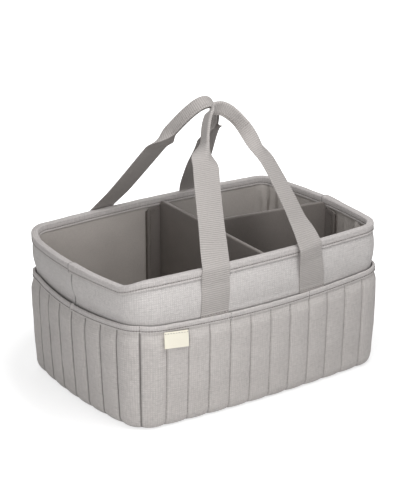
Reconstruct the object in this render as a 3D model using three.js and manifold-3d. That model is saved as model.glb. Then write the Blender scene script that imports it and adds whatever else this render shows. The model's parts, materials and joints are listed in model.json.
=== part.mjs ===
// Diaper caddy: a soft open tub with a quilted pocket strip all round, two webbing handles and
// a lift-out T-shaped divider held to the walls by hook-and-loop flaps.
// Millimetres, +Z up. The origin is the middle of the underside, +X runs along the length and
// -Y is the front, where the label hangs.
import * as THREE from 'three';
import { mergeVertices } from 'three/addons/utils/BufferGeometryUtils.js';
import Module from 'manifold-3d';

const wasm = await Module();
wasm.setup();

const { degToRad, clamp, lerp, smoothstep, euclideanModulo } = THREE.MathUtils;

// Tub outline, over the outer cloth
const length = 380;
const depth = 256;
const wallHeight = 187;
const cornerRadius = 34;
const longBow = degToRad(4.85); // half of the angle that a long side curves through
const endBow = degToRad(9.2); // half of the angle that an end curves through

// Sewn wall, from outside to inside
const sewnGap = 0.3;
const outerCloth = 1.2;
const foam = 3;
const liningCloth = 1;
const bandBulge = 2.5; // how far the band above the pockets swells out
const leftLean = 6; // the left end is pulled out and down by use
const leftDip = 10;
const rimTape = 1.2;
const rimTapeDepth = 10;

// Base
const baseCloth = 1.2;
const baseBoard = 3;
const floorCloth = 1;

// Quilted pocket strip
const longChannels = 12;
const endChannels = 8;
const pocketHeight = 133.5;
const pocketDip = 6;
const quiltSkin = 1.6;
const quiltCrown = 3.5;
const crownFade = 14;
const crownPower = 0.6;
const mouthMargin = 10; // how far the slack of a pocket's mouth reaches below a strap's end
const endSlack = 2.5;
const tuckHeight = 14;
const tuckReach = 9;
const footLap = 2;
const footThickness = 3;
const floorGap = 0.4;
const seamLift = 1.4;
const pocketTape = 0.7;
const pocketTapeDepth = 8;

// Webbing handles
const webbingWidth = 38;
const webbing = 1.5;
const strapChannels = 2; // pocket channels between the middle of the side and a strap
const strapMargin = 0.5;
// How far use has pulled each strap along the outline, at the foot of its tail and at the rim, and
// how far its leg leans towards the middle above the rim
const strapPulls = {
  front_left: { foot: 0, rim: 0, leg: 12 },
  front_right: { foot: -10, rim: -19, leg: 6 },
  rear_right: { foot: 0, rim: 10, leg: 12 },
  rear_left: { foot: 0, rim: -7, leg: 22 },
};
const tailTuck = 25;
const tailGap = 3.5;
const handleRise = 197;
const legRise = 60;
const legSquare = 45; // height over which a leg turns square to its own line
const apexX = 8;
const leftReach = 28;
const rightReach = 24;
const gripClearance = 4;
const foldStart = 114;
const foldEnd = 150;
const foldTurn = degToRad(88);
const foldBase = 2.2;
const legSteps = 24;
const legEase = 1.6; // crowds the steps of a leg towards the grip

// Label on the front pocket
const labelWidth = 32;
const labelHeight = 20;
const labelCloth = 0.8;
const labelChannel = 1.3; // where the label hangs, counted in channels from the left front corner

// Lift-out divider
const dividerThickness = 5;
const dividerCloth = 1;
const dividerDrop = 3; // from the rim down to the divider's top
const dividerEdge = 1.2; // rounding of the padded edges
const dividerCorner = 8;
const dividerEndGap = 0.9;
const crossX = 7;
const crossTurn = degToRad(87.2);
const junctionAlong = 16;
const longTurn = degToRad(-7.8);
const flapWidth = 20;
const flapCloth = 1.2;
const flapFoot = 14;
const flapCorner = 3;
const hookTape = 0.9;
const loopTape = 1.2;
const tapeMargin = 4;

// Sizes that follow from the ones above
const wallStack = outerCloth + foam + liningCloth + 2 * sewnGap;
const rimRound = wallStack / 2 + sewnGap + rimTape;
const wallTuck = outerCloth + foam + sewnGap;
const footReach = tuckReach - quiltSkin - sewnGap + footLap;
const footTop = floorGap + footThickness;
const wallFoot = footTop + sewnGap;
const bandFoot = pocketHeight + sewnGap + 2 * pocketTape;
const boardFoot = baseCloth + sewnGap;
const floorFoot = boardFoot + baseBoard + sewnGap;
const floorTop = floorFoot + floorCloth;
const longMouth = webbing + pocketTape + 3 * sewnGap;
const endMouth = pocketTape + 2 * sewnGap;
const mouthDepth = tailTuck + mouthMargin;
const halfWebbing = webbingWidth / 2;
const strapStand = rimRound + sewnGap + webbing / 2; // from the middle of the rim to a strap's middle
const dividerTop = wallHeight - dividerDrop;

// Colours and finishes
const cloth = { color: 0xcdc8c5, roughness: 0.92, metalness: 0 };
const quiltCloth = { color: 0xb9b2ac, roughness: 0.93, metalness: 0 };
const liningFinish = { color: 0x7d766f, roughness: 0.7, metalness: 0 };
const webbingFinish = { color: 0xbeb7b1, roughness: 0.85, metalness: 0 };
const labelFinish = { color: 0xf5f0de, roughness: 0.8, metalness: 0 };
const foamFinish = { color: 0xe6e2d6, roughness: 1, metalness: 0 };
const boardFinish = { color: 0x8f8a83, roughness: 0.6, metalness: 0 };
const tapeFinish = { color: 0x6f6963, roughness: 0.95, metalness: 0 };

const caddy = new THREE.Group();

function addMesh(parent, name, geometry, finish) {
  const mesh = new THREE.Mesh(geometry, new THREE.MeshStandardMaterial(finish));
  mesh.name = name;
  parent.add(mesh);
  return mesh;
}

// The plan outline is a chain of tangent arcs: four gently bowed sides and four round corners.
// It is walked anticlockwise from the middle of the left front corner.
function makeOutline() {
  const halfLong = length / 2 - cornerRadius;
  const halfEnd = depth / 2 - cornerRadius;
  const longSag = 1 - Math.cos(longBow);
  const endSag = 1 - Math.cos(endBow);
  const scale = Math.sin(longBow) * Math.sin(endBow) - longSag * endSag;
  const longExtra = (halfLong * Math.sin(endBow) - halfEnd * endSag) / scale;
  const endExtra = (halfEnd * Math.sin(longBow) - halfLong * longSag) / scale;
  const longRadius = cornerRadius + longExtra;
  const endRadius = cornerRadius + endExtra;
  const cornerX = longExtra * Math.sin(longBow);
  const cornerY = endExtra * Math.sin(endBow);
  const quarter = Math.PI / 2;
  const arcs = [];
  let total = 0;
  const addArc = (x, y, radius, from, to) => {
    arcs.push({ x, y, radius, from, to, start: total });
    total += radius * (to - from);
  };
  const firstMiddle = 2.5 * quarter + (endBow - longBow) / 2;
  addArc(-cornerX, -cornerY, cornerRadius, firstMiddle, 3 * quarter - longBow);
  addArc(0, longRadius - depth / 2, longRadius, 3 * quarter - longBow, 3 * quarter + longBow);
  addArc(cornerX, -cornerY, cornerRadius, 3 * quarter + longBow, 4 * quarter - endBow);
  addArc(length / 2 - endRadius, 0, endRadius, 4 * quarter - endBow, 4 * quarter + endBow);
  addArc(cornerX, cornerY, cornerRadius, 4 * quarter + endBow, 5 * quarter - longBow);
  addArc(0, depth / 2 - longRadius, longRadius, 5 * quarter - longBow, 5 * quarter + longBow);
  addArc(-cornerX, cornerY, cornerRadius, 5 * quarter + longBow, 6 * quarter - endBow);
  addArc(endRadius - length / 2, 0, endRadius, 6 * quarter - endBow, 6 * quarter + endBow);
  addArc(-cornerX, -cornerY, cornerRadius, 6 * quarter + endBow, firstMiddle + 4 * quarter);
  const at = (s, offset = 0) => {
    const along = euclideanModulo(s, total);
    const arc = arcs.findLast((candidate) => candidate.start <= along);
    const angle = arc.from + (along - arc.start) / arc.radius;
    const nx = Math.cos(angle);
    const ny = Math.sin(angle);
    const reach = arc.radius + offset;
    return { x: arc.x + reach * nx, y: arc.y + reach * ny, nx, ny };
  };
  const shape = (offset) => {
    const path = new THREE.Shape();
    for (const arc of arcs) {
      path.absarc(arc.x, arc.y, arc.radius + offset, arc.from, arc.to, false);
    }
    return path;
  };
  const halfCorner = arcs[0].radius * (arcs[0].to - arcs[0].from);
  const longSide = 2 * halfCorner + longRadius * 2 * longBow;
  const endSide = 2 * halfCorner + endRadius * 2 * endBow;
  const [, front, , right, , rear] = arcs;
  return { at, shape, total, longSide, endSide, front, right, rear };
}

const outline = makeOutline();
const longPitch = outline.longSide / longChannels;

const sides = [
  { size: outline.longSide, channels: longChannels, isEnd: false },
  { size: outline.endSide, channels: endChannels, isEnd: true },
  { size: outline.longSide, channels: longChannels, isEnd: false },
  { size: outline.endSide, channels: endChannels, isEnd: true },
];

// Where a station falls: its share of the side and its share of one quilted channel.
function sidePlace(s) {
  let along = euclideanModulo(s, outline.total);
  let side = sides[0];
  for (side of sides) {
    if (along <= side.size) {
      break;
    }
    along -= side.size;
  }
  const share = clamp(along / side.size, 0, 1);
  return { share, inChannel: (share * side.channels) % 1, isEnd: side.isEnd };
}

// Stations from one place on the outline to another: channel seams, and more columns inside
// each channel where asked. The channels beside a corner always take every column.
const everyColumn = [0, 0.15, 0.5, 0.85];
const halfColumns = [0, 0.5];
const seamColumns = [0];

function stations(from, to, columns) {
  const list = [];
  for (let lap = -1; lap <= 1; lap += 1) {
    let start = lap * outline.total;
    for (const side of sides) {
      const pitch = side.size / side.channels;
      for (let channel = 0; channel < side.channels; channel += 1) {
        const atCorner = channel === 0 || channel === side.channels - 1;
        for (const share of atCorner ? everyColumn : columns) {
          list.push(start + (channel + share) * pitch);
        }
      }
      start += side.size;
    }
  }
  const inside = list.filter((s) => s > from + sewnGap && s < to - sewnGap);
  return [from, ...inside, to];
}

// The cloth is cut as a front half and a rear half that meet at the middle of each end.
const halfSpans = {
  front: [sewnGap / 2 - outline.endSide / 2, outline.longSide + outline.endSide / 2 - sewnGap / 2],
};
halfSpans.rear = halfSpans.front.map((s) => s + outline.total / 2);

// A closed skin through sections. Each section is a strip of point pairs, one on each face.
// Both faces are split along the same diagonal, so a thin wall that twists keeps its thickness.
function loft(sections) {
  const pairs = sections[0].length;
  const ring = 2 * pairs;
  const positions = [];
  for (const section of sections) {
    for (const [outer] of section) {
      positions.push(outer.x, outer.y, outer.z);
    }
    for (const [, inner] of section.toReversed()) {
      positions.push(inner.x, inner.y, inner.z);
    }
  }
  const triangles = [];
  const addQuad = (a, b, c, d) => triangles.push([a, b, c], [a, c, d]);
  for (let row = 0; row + 1 < sections.length; row += 1) {
    const low = row * ring;
    const high = low + ring;
    for (let k = 0; k < ring; k += 1) {
      const next = (k + 1) % ring;
      const corners = [low + k, low + next, high + next, high + k];
      if (k >= pairs) {
        corners.push(corners.shift());
      }
      addQuad(...corners);
    }
  }
  const last = (sections.length - 1) * ring;
  for (let k = 0; k + 1 < pairs; k += 1) {
    const across = ring - 1 - k;
    addQuad(k, across, across - 1, k + 1);
    addQuad(last + k, last + k + 1, last + across - 1, last + across);
  }
  const point = (index) => new THREE.Vector3().fromArray(positions, 3 * index);
  const volume = triangles.reduce(
    (sum, [a, b, c]) => sum + point(a).dot(point(b).cross(point(c))),
    0,
  );
  const faces = volume < 0 ? triangles.map(([a, b, c]) => [a, c, b]) : triangles;
  const geometry = new THREE.BufferGeometry();
  geometry.setAttribute('position', new THREE.Float32BufferAttribute(positions, 3));
  geometry.setIndex(faces.flat());
  geometry.computeVertexNormals();
  return geometry;
}

// A wall swept round the outline: stripAt gives pairs of [offset, z] points at a station.
function sweepWall(list, stripAt) {
  const place = (s, [offset, z]) => {
    const { x, y } = outline.at(s, offset);
    return new THREE.Vector3(x, y, z);
  };
  return loft(list.map((s) => stripAt(s).map(([outer, inner]) => [place(s, outer), place(s, inner)])));
}

function toSolid(geometry) {
  const bare = geometry.clone();
  bare.deleteAttribute('normal');
  bare.deleteAttribute('uv');
  const merged = mergeVertices(bare);
  return new wasm.Manifold(
    new wasm.Mesh({
      numProp: 3,
      vertProperties: new Float32Array(merged.attributes.position.array),
      triVerts: new Uint32Array(merged.index.array),
    }),
  );
}

function cut(geometry, tool) {
  const mesh = toSolid(geometry).subtract(toSolid(tool)).getMesh();
  const result = new THREE.BufferGeometry();
  result.setAttribute('position', new THREE.Float32BufferAttribute(mesh.vertProperties, 3));
  result.setIndex(Array.from(mesh.triVerts));
  result.computeVertexNormals();
  return result;
}

// Shape of the wall: the left end leans out and dips, and the band above the pockets swells.
function leftShare(s) {
  return Math.min(outline.at(s).nx, 0) ** 2;
}

function rimAt(s) {
  return wallHeight - leftDip * leftShare(s);
}

function leanAt(s, z) {
  const rise = (z - bandFoot) / (rimAt(s) - bandFoot);
  return leftLean * leftShare(s) * Math.max(rise, 0);
}

function bulgeAt(s, z) {
  const tapeFoot = rimAt(s) - rimTapeDepth;
  return bandBulge * Math.sin(Math.PI * clamp((z - bandFoot) / (tapeFoot - bandFoot), 0, 1));
}

const bandSteps = 3;

function bandLevels(s) {
  const tapeFoot = rimAt(s) - rimTapeDepth;
  const levels = [];
  for (let step = 0; step <= bandSteps; step += 1) {
    levels.push(bandFoot + ((tapeFoot - bandFoot) * step) / bandSteps);
  }
  return levels;
}

function layerTop(s) {
  return rimAt(s) - rimRound - sewnGap;
}

// Points on the rounded turn from a wall to the base, as [offset, z].
function tuckPoint(start, reach, foot, turn) {
  return [start - reach * (1 - Math.cos(turn)), tuckHeight - (tuckHeight - foot) * Math.sin(turn)];
}

const tuckTurns = [Math.PI / 2, Math.PI / 4];

function outerPanelStrip(s) {
  const turns = tuckTurns.map((turn) => [
    tuckPoint(0, wallTuck, wallFoot, turn),
    tuckPoint(-outerCloth, wallTuck - outerCloth, wallFoot + outerCloth, turn),
  ]);
  const levels = [tuckHeight, ...bandLevels(s), layerTop(s)];
  const upright = levels.map((z) => {
    const face = leanAt(s, z) + bulgeAt(s, z);
    return [[face, z], [face - outerCloth, z]];
  });
  return [...turns, ...upright];
}

function foamStrip(s) {
  const levels = [tuckHeight, ...bandLevels(s), layerTop(s)];
  return levels.map((z) => {
    const face = leanAt(s, z) + bulgeAt(s, z) - outerCloth - sewnGap;
    return [[face, z], [leanAt(s, z) - outerCloth - sewnGap - foam, z]];
  });
}

function liningStrip(s) {
  return [floorFoot, ...bandLevels(s), layerTop(s)].map((z) => {
    const inner = leanAt(s, z) - wallStack;
    return [[inner + liningCloth, z], [inner, z]];
  });
}

const rimSteps = 4;

function rimTapeStrip(s) {
  const middle = -wallStack / 2;
  const centre = rimAt(s) - rimRound;
  const foot = rimAt(s) - rimTapeDepth;
  const point = (radius, turn) => {
    const z = centre + radius * Math.sin(turn);
    return [middle + radius * Math.cos(turn) + leanAt(s, z), z];
  };
  const leg = (radius) => [middle + radius + leanAt(s, foot), foot];
  const strip = [[leg(rimRound), leg(rimRound - rimTape)]];
  for (let step = 0; step <= rimSteps; step += 1) {
    const turn = (Math.PI * step) / rimSteps;
    strip.push([point(rimRound, turn), point(rimRound - rimTape, turn)]);
  }
  strip.push([leg(-rimRound), leg(rimTape - rimRound)]);
  return strip;
}

// Shape of the quilted pocket strip
function pocketTop(s) {
  return pocketHeight - pocketDip * Math.sin(Math.PI * sidePlace(s).share);
}

function pocketGap(s, z) {
  const { share, isEnd } = sidePlace(s);
  const facing = outline.at(s).ny ** 2;
  const slack = isEnd ? endSlack * Math.sin(Math.PI * share) ** 2 : 0;
  const mouth = endMouth + (longMouth - endMouth) * facing + slack;
  const open = clamp((z - tuckHeight) / (pocketTop(s) - mouthDepth - tuckHeight), 0, 1);
  return sewnGap + (mouth - sewnGap) * open;
}

function pillowAt(s) {
  const { inChannel } = sidePlace(s);
  return (4 * inChannel * (1 - inChannel)) ** crownPower;
}

function pocketTapeFoot(s) {
  return pocketTop(s) + sewnGap + pocketTape - pocketTapeDepth;
}

function crownAt(s, z) {
  const fadeEnd = pocketTapeFoot(s) - sewnGap;
  return quiltCrown * pillowAt(s) * (1 - smoothstep(z, fadeEnd - crownFade, fadeEnd));
}

function pocketPanelStrip(s) {
  const fadeEnd = pocketTapeFoot(s) - sewnGap;
  const levels = [pocketTop(s), fadeEnd, fadeEnd - crownFade, tuckHeight];
  const upright = levels.map((z) => {
    const inner = pocketGap(s, z);
    return [[inner + quiltSkin + crownAt(s, z), z], [inner, z]];
  });
  const face = upright.at(-1)[0][0];
  const sole = floorGap + seamLift * (1 - pillowAt(s));
  const turns = tuckTurns.toReversed().map((turn) => [
    tuckPoint(face, tuckReach, sole, turn),
    tuckPoint(sewnGap, wallTuck + sewnGap, footTop, turn),
  ]);
  return [...upright, ...turns, [[-footReach, sole], [-footReach, footTop]]];
}

function pocketTapeStrip(s) {
  const top = pocketTop(s) + sewnGap;
  const foot = pocketTapeFoot(s);
  const inner = pocketGap(s, pocketTop(s)) - sewnGap;
  const outer = inner + quiltSkin + 2 * sewnGap;
  return [
    [[outer + pocketTape, foot], [outer, foot]],
    [[outer + pocketTape, top + pocketTape], [outer, top]],
    [[inner - pocketTape, top + pocketTape], [inner, top]],
    [[inner - pocketTape, foot], [inner, foot]],
  ];
}

// Wall pieces that come as a front half and a rear half
for (const [half, [from, to]] of Object.entries(halfSpans)) {
  const seams = stations(from, to, seamColumns);
  const halves = stations(from, to, halfColumns);
  const columns = stations(from, to, everyColumn);
  addMesh(caddy, `${half}_outer_panel`, sweepWall(seams, outerPanelStrip), cloth);
  addMesh(caddy, `${half}_lining`, sweepWall(seams, liningStrip), liningFinish);
  addMesh(caddy, `rim_binding_${half}`, sweepWall(seams, rimTapeStrip), cloth);
  addMesh(caddy, `pocket_panel_${half}`, sweepWall(columns, pocketPanelStrip), quiltCloth);
  addMesh(caddy, `pocket_binding_${half}`, sweepWall(halves, pocketTapeStrip), quiltCloth);
}

// Foam boards, one in each wall, that stop at the corners
let boardStart = 0;
for (const name of ['front', 'right', 'rear', 'left']) {
  const size = name === 'front' || name === 'rear' ? outline.longSide : outline.endSide;
  const list = stations(boardStart + sewnGap / 2, boardStart + size - sewnGap / 2, seamColumns);
  addMesh(caddy, `${name}_foam_board`, sweepWall(list, foamStrip), foamFinish);
  boardStart += size;
}

// Base: a cloth cover below, a stiff board, and the lining floor on top
function baseLayer(offset, foot, thickness) {
  const options = { depth: thickness, bevelEnabled: false, curveSegments: 5 };
  return new THREE.ExtrudeGeometry(outline.shape(offset), options).translate(0, 0, foot);
}

const baseOffset = -footReach - sewnGap;
addMesh(caddy, 'base_cover', baseLayer(baseOffset, 0, baseCloth), quiltCloth);
addMesh(caddy, 'base_board', baseLayer(baseOffset, boardFoot, baseBoard), boardFinish);
addMesh(caddy, 'lining_floor', baseLayer(-wallStack - 2 * sewnGap, floorFoot, floorCloth), liningFinish);

// Straps: where they stand on the wall, and the lean and pivot of the handles that they carry.
// The pivot is as high as lets the leaning strap just clear the round rim.
const strapAlong = strapChannels * longPitch + halfWebbing + strapMargin;
const frontMiddle = outline.longSide / 2;
const rearMiddle = frontMiddle + outline.total / 2;
const strapPlaces = {
  front_left: frontMiddle - strapAlong,
  front_right: frontMiddle + strapAlong,
  rear_right: rearMiddle - strapAlong,
  rear_left: rearMiddle + strapAlong,
};
const rimPlace = (name) => strapPlaces[name] + strapPulls[name].rim;
const pivotY = -outline.at(rimPlace('front_right') - halfWebbing, strapStand - wallStack / 2).y;
const gripDepth = halfWebbing / 2; // the folded grip lies half before and half behind the strap's plane
const gripReach = Math.hypot(handleRise, gripDepth);
const handleLean = Math.asin((pivotY - gripClearance) / gripReach) - Math.atan2(gripDepth, handleRise);
const pivotZ = wallHeight - rimRound + strapStand * Math.tan(handleLean / 2) + sewnGap;

// Strap tails: webbing sewn up the band, from behind the pocket to just under the rim
function strapTail(name) {
  const footPlace = strapPlaces[name] + strapPulls[name].foot;
  const tapeFoot = wallHeight - rimTapeDepth;
  const foot = pocketTop(footPlace) - tailTuck;
  const top = pivotZ - tailGap;
  const bandPart = bandLevels(footPlace).filter((z) => z < top - sewnGap);
  return loft([foot, ...bandPart, top].map((z) => {
    const middle = lerp(footPlace, rimPlace(name), (z - foot) / (top - foot));
    const under = z < tapeFoot - sewnGap ? bulgeAt(middle, z) : rimTape + sewnGap;
    const corner = (s, offset) => {
      const { x, y } = outline.at(s, offset);
      return new THREE.Vector3(x, y, z);
    };
    const inner = under + sewnGap;
    return [middle - halfWebbing, middle + halfWebbing].map((s) => [
      corner(s, inner + webbing),
      corner(s, inner),
    ]);
  }));
}

for (const name of Object.keys(strapPlaces)) {
  addMesh(caddy, `${name}_strap_tail`, strapTail(name), webbingFinish);
}

// Handles: webbing that leaves the rim flat and is folded lengthwise into a narrow grip.
// Each is drawn in its own plane, x along the tub and h up the strap, and leans inwards until
// the two grips almost meet over the middle.
function handleLeg(name, reach) {
  const footX = outline.at(rimPlace(name)).x;
  const toApex = Math.sign(apexX - footX);
  return new THREE.CubicBezierCurve(
    new THREE.Vector2(footX, 0),
    new THREE.Vector2(footX + toApex * strapPulls[name].leg, legRise),
    new THREE.Vector2(apexX - toApex * reach, handleRise),
    new THREE.Vector2(apexX, handleRise),
  );
}

// One folded section as pairs of [across, depth] points, from one edge of the webbing to the other
function foldedSection(turn) {
  const arm = halfWebbing - foldBase;
  const base = foldBase - webbing * Math.tan(turn / 2);
  const edge = [foldBase + arm * Math.cos(turn), arm * Math.sin(turn)];
  const edgeInner = [edge[0] - webbing * Math.sin(turn), edge[1] + webbing * Math.cos(turn)];
  return [
    [[-edge[0], edge[1]], [-edgeInner[0], edgeInner[1]]],
    [[-foldBase, 0], [-base, webbing]],
    [[foldBase, 0], [base, webbing]],
    [edge, edgeInner],
  ];
}

function handleGeometry(half, inward) {
  const left = handleLeg(`${half}_left`, leftReach);
  const right = handleLeg(`${half}_right`, rightReach);
  const stops = [];
  for (let step = 0; step <= legSteps; step += 1) {
    stops.push(1 - (1 - step / legSteps) ** legEase);
  }
  const path = stops.map((t) => ({ point: left.getPoint(t), along: left.getTangent(t) }));
  for (const t of stops.toReversed().slice(1)) {
    path.push({ point: right.getPoint(t), along: right.getTangent(t).negate() });
  }
  return loft(path.map(({ point, along }) => {
    const upright = new THREE.Vector2(0, Math.sign(along.y) || 1);
    const square = upright.lerp(along, smoothstep(point.y, 0, legSquare)).normalize();
    const section = foldedSection(foldTurn * smoothstep(point.y, foldStart, foldEnd));
    const [[, [, deepest]]] = section;
    const place = ([across, rise]) => new THREE.Vector3(
      point.x + square.y * across,
      inward * (rise - deepest / 2),
      point.y - square.x * across,
    );
    return section.map((pair) => pair.map(place));
  }));
}

for (const [half, inward] of Object.entries({ front: 1, rear: -1 })) {
  const swing = new THREE.Group();
  swing.name = `${half}_handle_axis`;
  swing.position.set(0, -inward * pivotY, pivotZ);
  swing.rotation.x = -inward * handleLean;
  caddy.add(swing);
  addMesh(swing, `${half}_handle`, handleGeometry(half, inward), webbingFinish);
}

// A flat plate that stands upright: x from 0 to width, z from 0 to height, y from -thickness to 0
function uprightPlate(width, height, thickness, corner, bevel = 0) {
  const low = bevel;
  const wide = width - bevel;
  const high = height - bevel;
  const round = Math.max(corner - bevel, 0);
  const shape = new THREE.Shape();
  shape.moveTo(low, low);
  shape.lineTo(wide, low);
  shape.lineTo(wide, high - round);
  shape.absarc(wide - round, high - round, round, 0, Math.PI / 2, false);
  shape.lineTo(low + round, high);
  shape.absarc(low + round, high - round, round, Math.PI / 2, Math.PI, false);
  const options = {
    depth: thickness - 2 * bevel,
    curveSegments: 4,
    bevelEnabled: bevel > 0,
    bevelThickness: bevel,
    bevelSize: bevel,
    bevelSegments: 2,
  };
  return new THREE.ExtrudeGeometry(shape, options).rotateX(Math.PI / 2).translate(0, -bevel, 0);
}

// Label: a small folded cloth tag that hangs over one channel of the front pocket
const labelAlong = labelChannel * longPitch;
const labelTop = pocketTapeFoot(labelAlong) - sewnGap;
const labelFace = outline.at(labelAlong, longMouth + quiltSkin + quiltCrown + sewnGap);
const labelHinge = new THREE.Group();
labelHinge.name = 'label_axis';
labelHinge.position.set(labelFace.x, labelFace.y, labelTop);
labelHinge.rotation.z = Math.atan2(labelFace.nx, -labelFace.ny);
caddy.add(labelHinge);
const tag = uprightPlate(labelWidth, labelHeight, labelCloth, 0);
addMesh(labelHinge, 'label', tag.translate(-labelWidth / 2, 0, -labelHeight), labelFinish);

// Divider: padded covers, open below, over stiff boards
const dividerFoot = floorTop + sewnGap;
const dividerHeight = dividerTop - dividerFoot;

function dividerCover(size) {
  const outside = uprightPlate(size, dividerHeight, dividerThickness, dividerCorner, dividerEdge);
  const pocketSize = size - 2 * dividerCloth;
  const pocketHeightInside = dividerHeight - dividerCloth;
  const inside = uprightPlate(pocketSize, pocketHeightInside + sewnGap, dividerThickness - 2 * dividerCloth,
    dividerCorner - dividerCloth);
  return cut(outside, inside.translate(dividerCloth, -dividerCloth, -sewnGap));
}

function dividerBoard(size) {
  const inset = dividerCloth + sewnGap;
  const board = uprightPlate(size - 2 * inset, dividerHeight - inset, dividerThickness - 2 * inset,
    Math.max(dividerCorner - inset, 0));
  return board.translate(inset, -inset, 0);
}

// Distance from a point, along a direction, to the lining of one bowed wall
function reachToWall(from, along, arc) {
  const radius = arc.radius - wallStack;
  const offset = from.clone().sub(new THREE.Vector2(arc.x, arc.y));
  const half = offset.dot(along);
  return -half + Math.sqrt(half ** 2 - offset.lengthSq() + radius ** 2);
}

const unit = (angle) => new THREE.Vector2(Math.cos(angle), Math.sin(angle));
const endClear = sewnGap + rimTape + dividerEndGap;
const halfDivider = dividerThickness / 2;

// A flap beside a divider's end, with its hook tape, and the loop tape it meets on the lining.
// The flap's group sits on its fold line, with x running along the wall away from the divider.
// inwards is 1 where the room is on the +y side of that line, and -1 where it is on the other.
function addFlap(name, wallPoint, dividerAlong, arc, turnSign, inwards) {
  const radius = arc.radius - wallStack;
  const centre = new THREE.Vector2(arc.x, arc.y);
  const hit = wallPoint.clone().sub(centre).angle();
  const middleTurn = hit + (turnSign * (halfDivider + flapWidth / 2)) / radius;
  const outward = unit(middleTurn);
  const middle = centre.clone().addScaledVector(outward, radius);
  const along = new THREE.Vector2(-outward.y, outward.x).multiplyScalar(turnSign);
  const bow = radius - Math.sqrt(radius ** 2 - (flapWidth / 2) ** 2);
  const hookFace = bow + Math.max(rimTape, loopTape) + 2 * sewnGap;
  const flapFace = hookFace + hookTape + sewnGap + flapCloth;
  const side = new THREE.Vector2(-dividerAlong.y, dividerAlong.x);
  side.multiplyScalar(Math.sign(side.dot(along)) * halfDivider);
  const cheek = wallPoint.clone().add(side).sub(middle);
  const cheekAt = (inset) => {
    const climb = (inset + cheek.dot(outward)) / -dividerAlong.dot(outward);
    return cheek.dot(along) + climb * dividerAlong.dot(along);
  };
  const fold = Math.max(cheekAt(0), cheekAt(flapFace)) + sewnGap / 2;
  const hinge = middle.clone().addScaledVector(along, fold).addScaledVector(outward, -flapFace);
  const group = new THREE.Group();
  group.name = `${name}_flap_axis`;
  group.position.set(hinge.x, hinge.y, 0);
  group.rotation.z = along.angle();
  caddy.add(group);
  const flapHeight = dividerTop - flapFoot - dividerCorner;
  const layers = [
    [`${name}_flap`, flapWidth, flapHeight, flapCloth, 0, flapFoot, 0, liningFinish],
    [`${name}_hook_tape`, flapWidth - 2 * tapeMargin, flapHeight - 2 * tapeMargin, hookTape,
      flapCloth + sewnGap, flapFoot + tapeMargin, tapeMargin, tapeFinish],
    [`${name}_loop_tape`, flapWidth, flapHeight - tapeMargin, loopTape,
      flapFace - bow - sewnGap - loopTape, flapFoot, 0, tapeFinish],
  ];
  for (const [node, width, height, thickness, inset, foot, start, finish] of layers) {
    const plate = uprightPlate(width, height, thickness, flapCorner);
    const towardWall = inwards > 0 ? -inset : inset + thickness;
    addMesh(group, node, plate.translate(sewnGap / 2 + start, towardWall, foot), finish);
  }
}

// The cross divider runs from the front wall to the rear wall, a little askew
const crossAlong = unit(crossTurn);
const crossMiddle = new THREE.Vector2(crossX, 0);
const crossBack = crossAlong.clone().negate();
const toRear = reachToWall(crossMiddle, crossAlong, outline.rear);
const toFront = reachToWall(crossMiddle, crossBack, outline.front);
const crossSize = toRear + toFront - 2 * endClear;
const crossStart = crossMiddle.clone().addScaledVector(crossBack, toFront - endClear);
const crossGroup = new THREE.Group();
crossGroup.position.set(crossStart.x, crossStart.y, dividerFoot);
crossGroup.rotation.z = crossTurn;
caddy.add(crossGroup);
const crossCover = dividerCover(crossSize).translate(0, halfDivider, 0);
addMesh(crossGroup, 'cross_divider_cover', crossCover, liningFinish);
const crossBoard = dividerBoard(crossSize).translate(0, halfDivider, 0);
addMesh(crossGroup, 'cross_divider_board', crossBoard, boardFinish);
addFlap('rear', crossMiddle.clone().addScaledVector(crossAlong, toRear), crossBack, outline.rear, 1, 1);
addFlap('front', crossMiddle.clone().addScaledVector(crossBack, toFront), crossAlong, outline.front, -1, -1);

// The lengthwise divider is sewn to the cross divider by its front corner and can fold forward
const longAlong = unit(longTurn);
const longSideways = new THREE.Vector2(-longAlong.y, longAlong.x);
const crossSideways = new THREE.Vector2(crossAlong.y, -crossAlong.x);
const seam = crossMiddle
  .clone()
  .addScaledVector(crossAlong, junctionAlong - halfDivider)
  .addScaledVector(crossSideways, halfDivider + sewnGap);
const longStart = seam.clone().addScaledVector(longSideways, halfDivider);
const toRight = reachToWall(longStart, longAlong, outline.right);
const longSize = toRight - endClear;
const longGroup = new THREE.Group();
longGroup.name = 'long_divider_axis';
longGroup.position.set(seam.x, seam.y, dividerFoot);
longGroup.rotation.z = longTurn;
caddy.add(longGroup);
const longCover = dividerCover(longSize).translate(0, dividerThickness, 0);
addMesh(longGroup, 'long_divider_cover', longCover, liningFinish);
const longBoard = dividerBoard(longSize).translate(0, dividerThickness, 0);
addMesh(longGroup, 'long_divider_board', longBoard, boardFinish);
const rightHit = longStart.clone().addScaledVector(longAlong, toRight);
addFlap('right', rightHit, longAlong.clone().negate(), outline.right, -1, -1);

export default caddy;
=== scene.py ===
"""Looks of a soft diaper caddy: quilted pockets, padded band, webbing handles and a lift-out divider.

Lengths are in metres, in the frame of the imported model. The origin is the middle of the underside,
+X runs along the length and -Y is the front, where the label hangs. Places round the tub are given
as a distance along its plan outline, walked anticlockwise from the left front corner.
"""
import json
import logging
import math
from collections.abc import Mapping, Sequence
from dataclasses import dataclass, field
from enum import Enum

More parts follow.
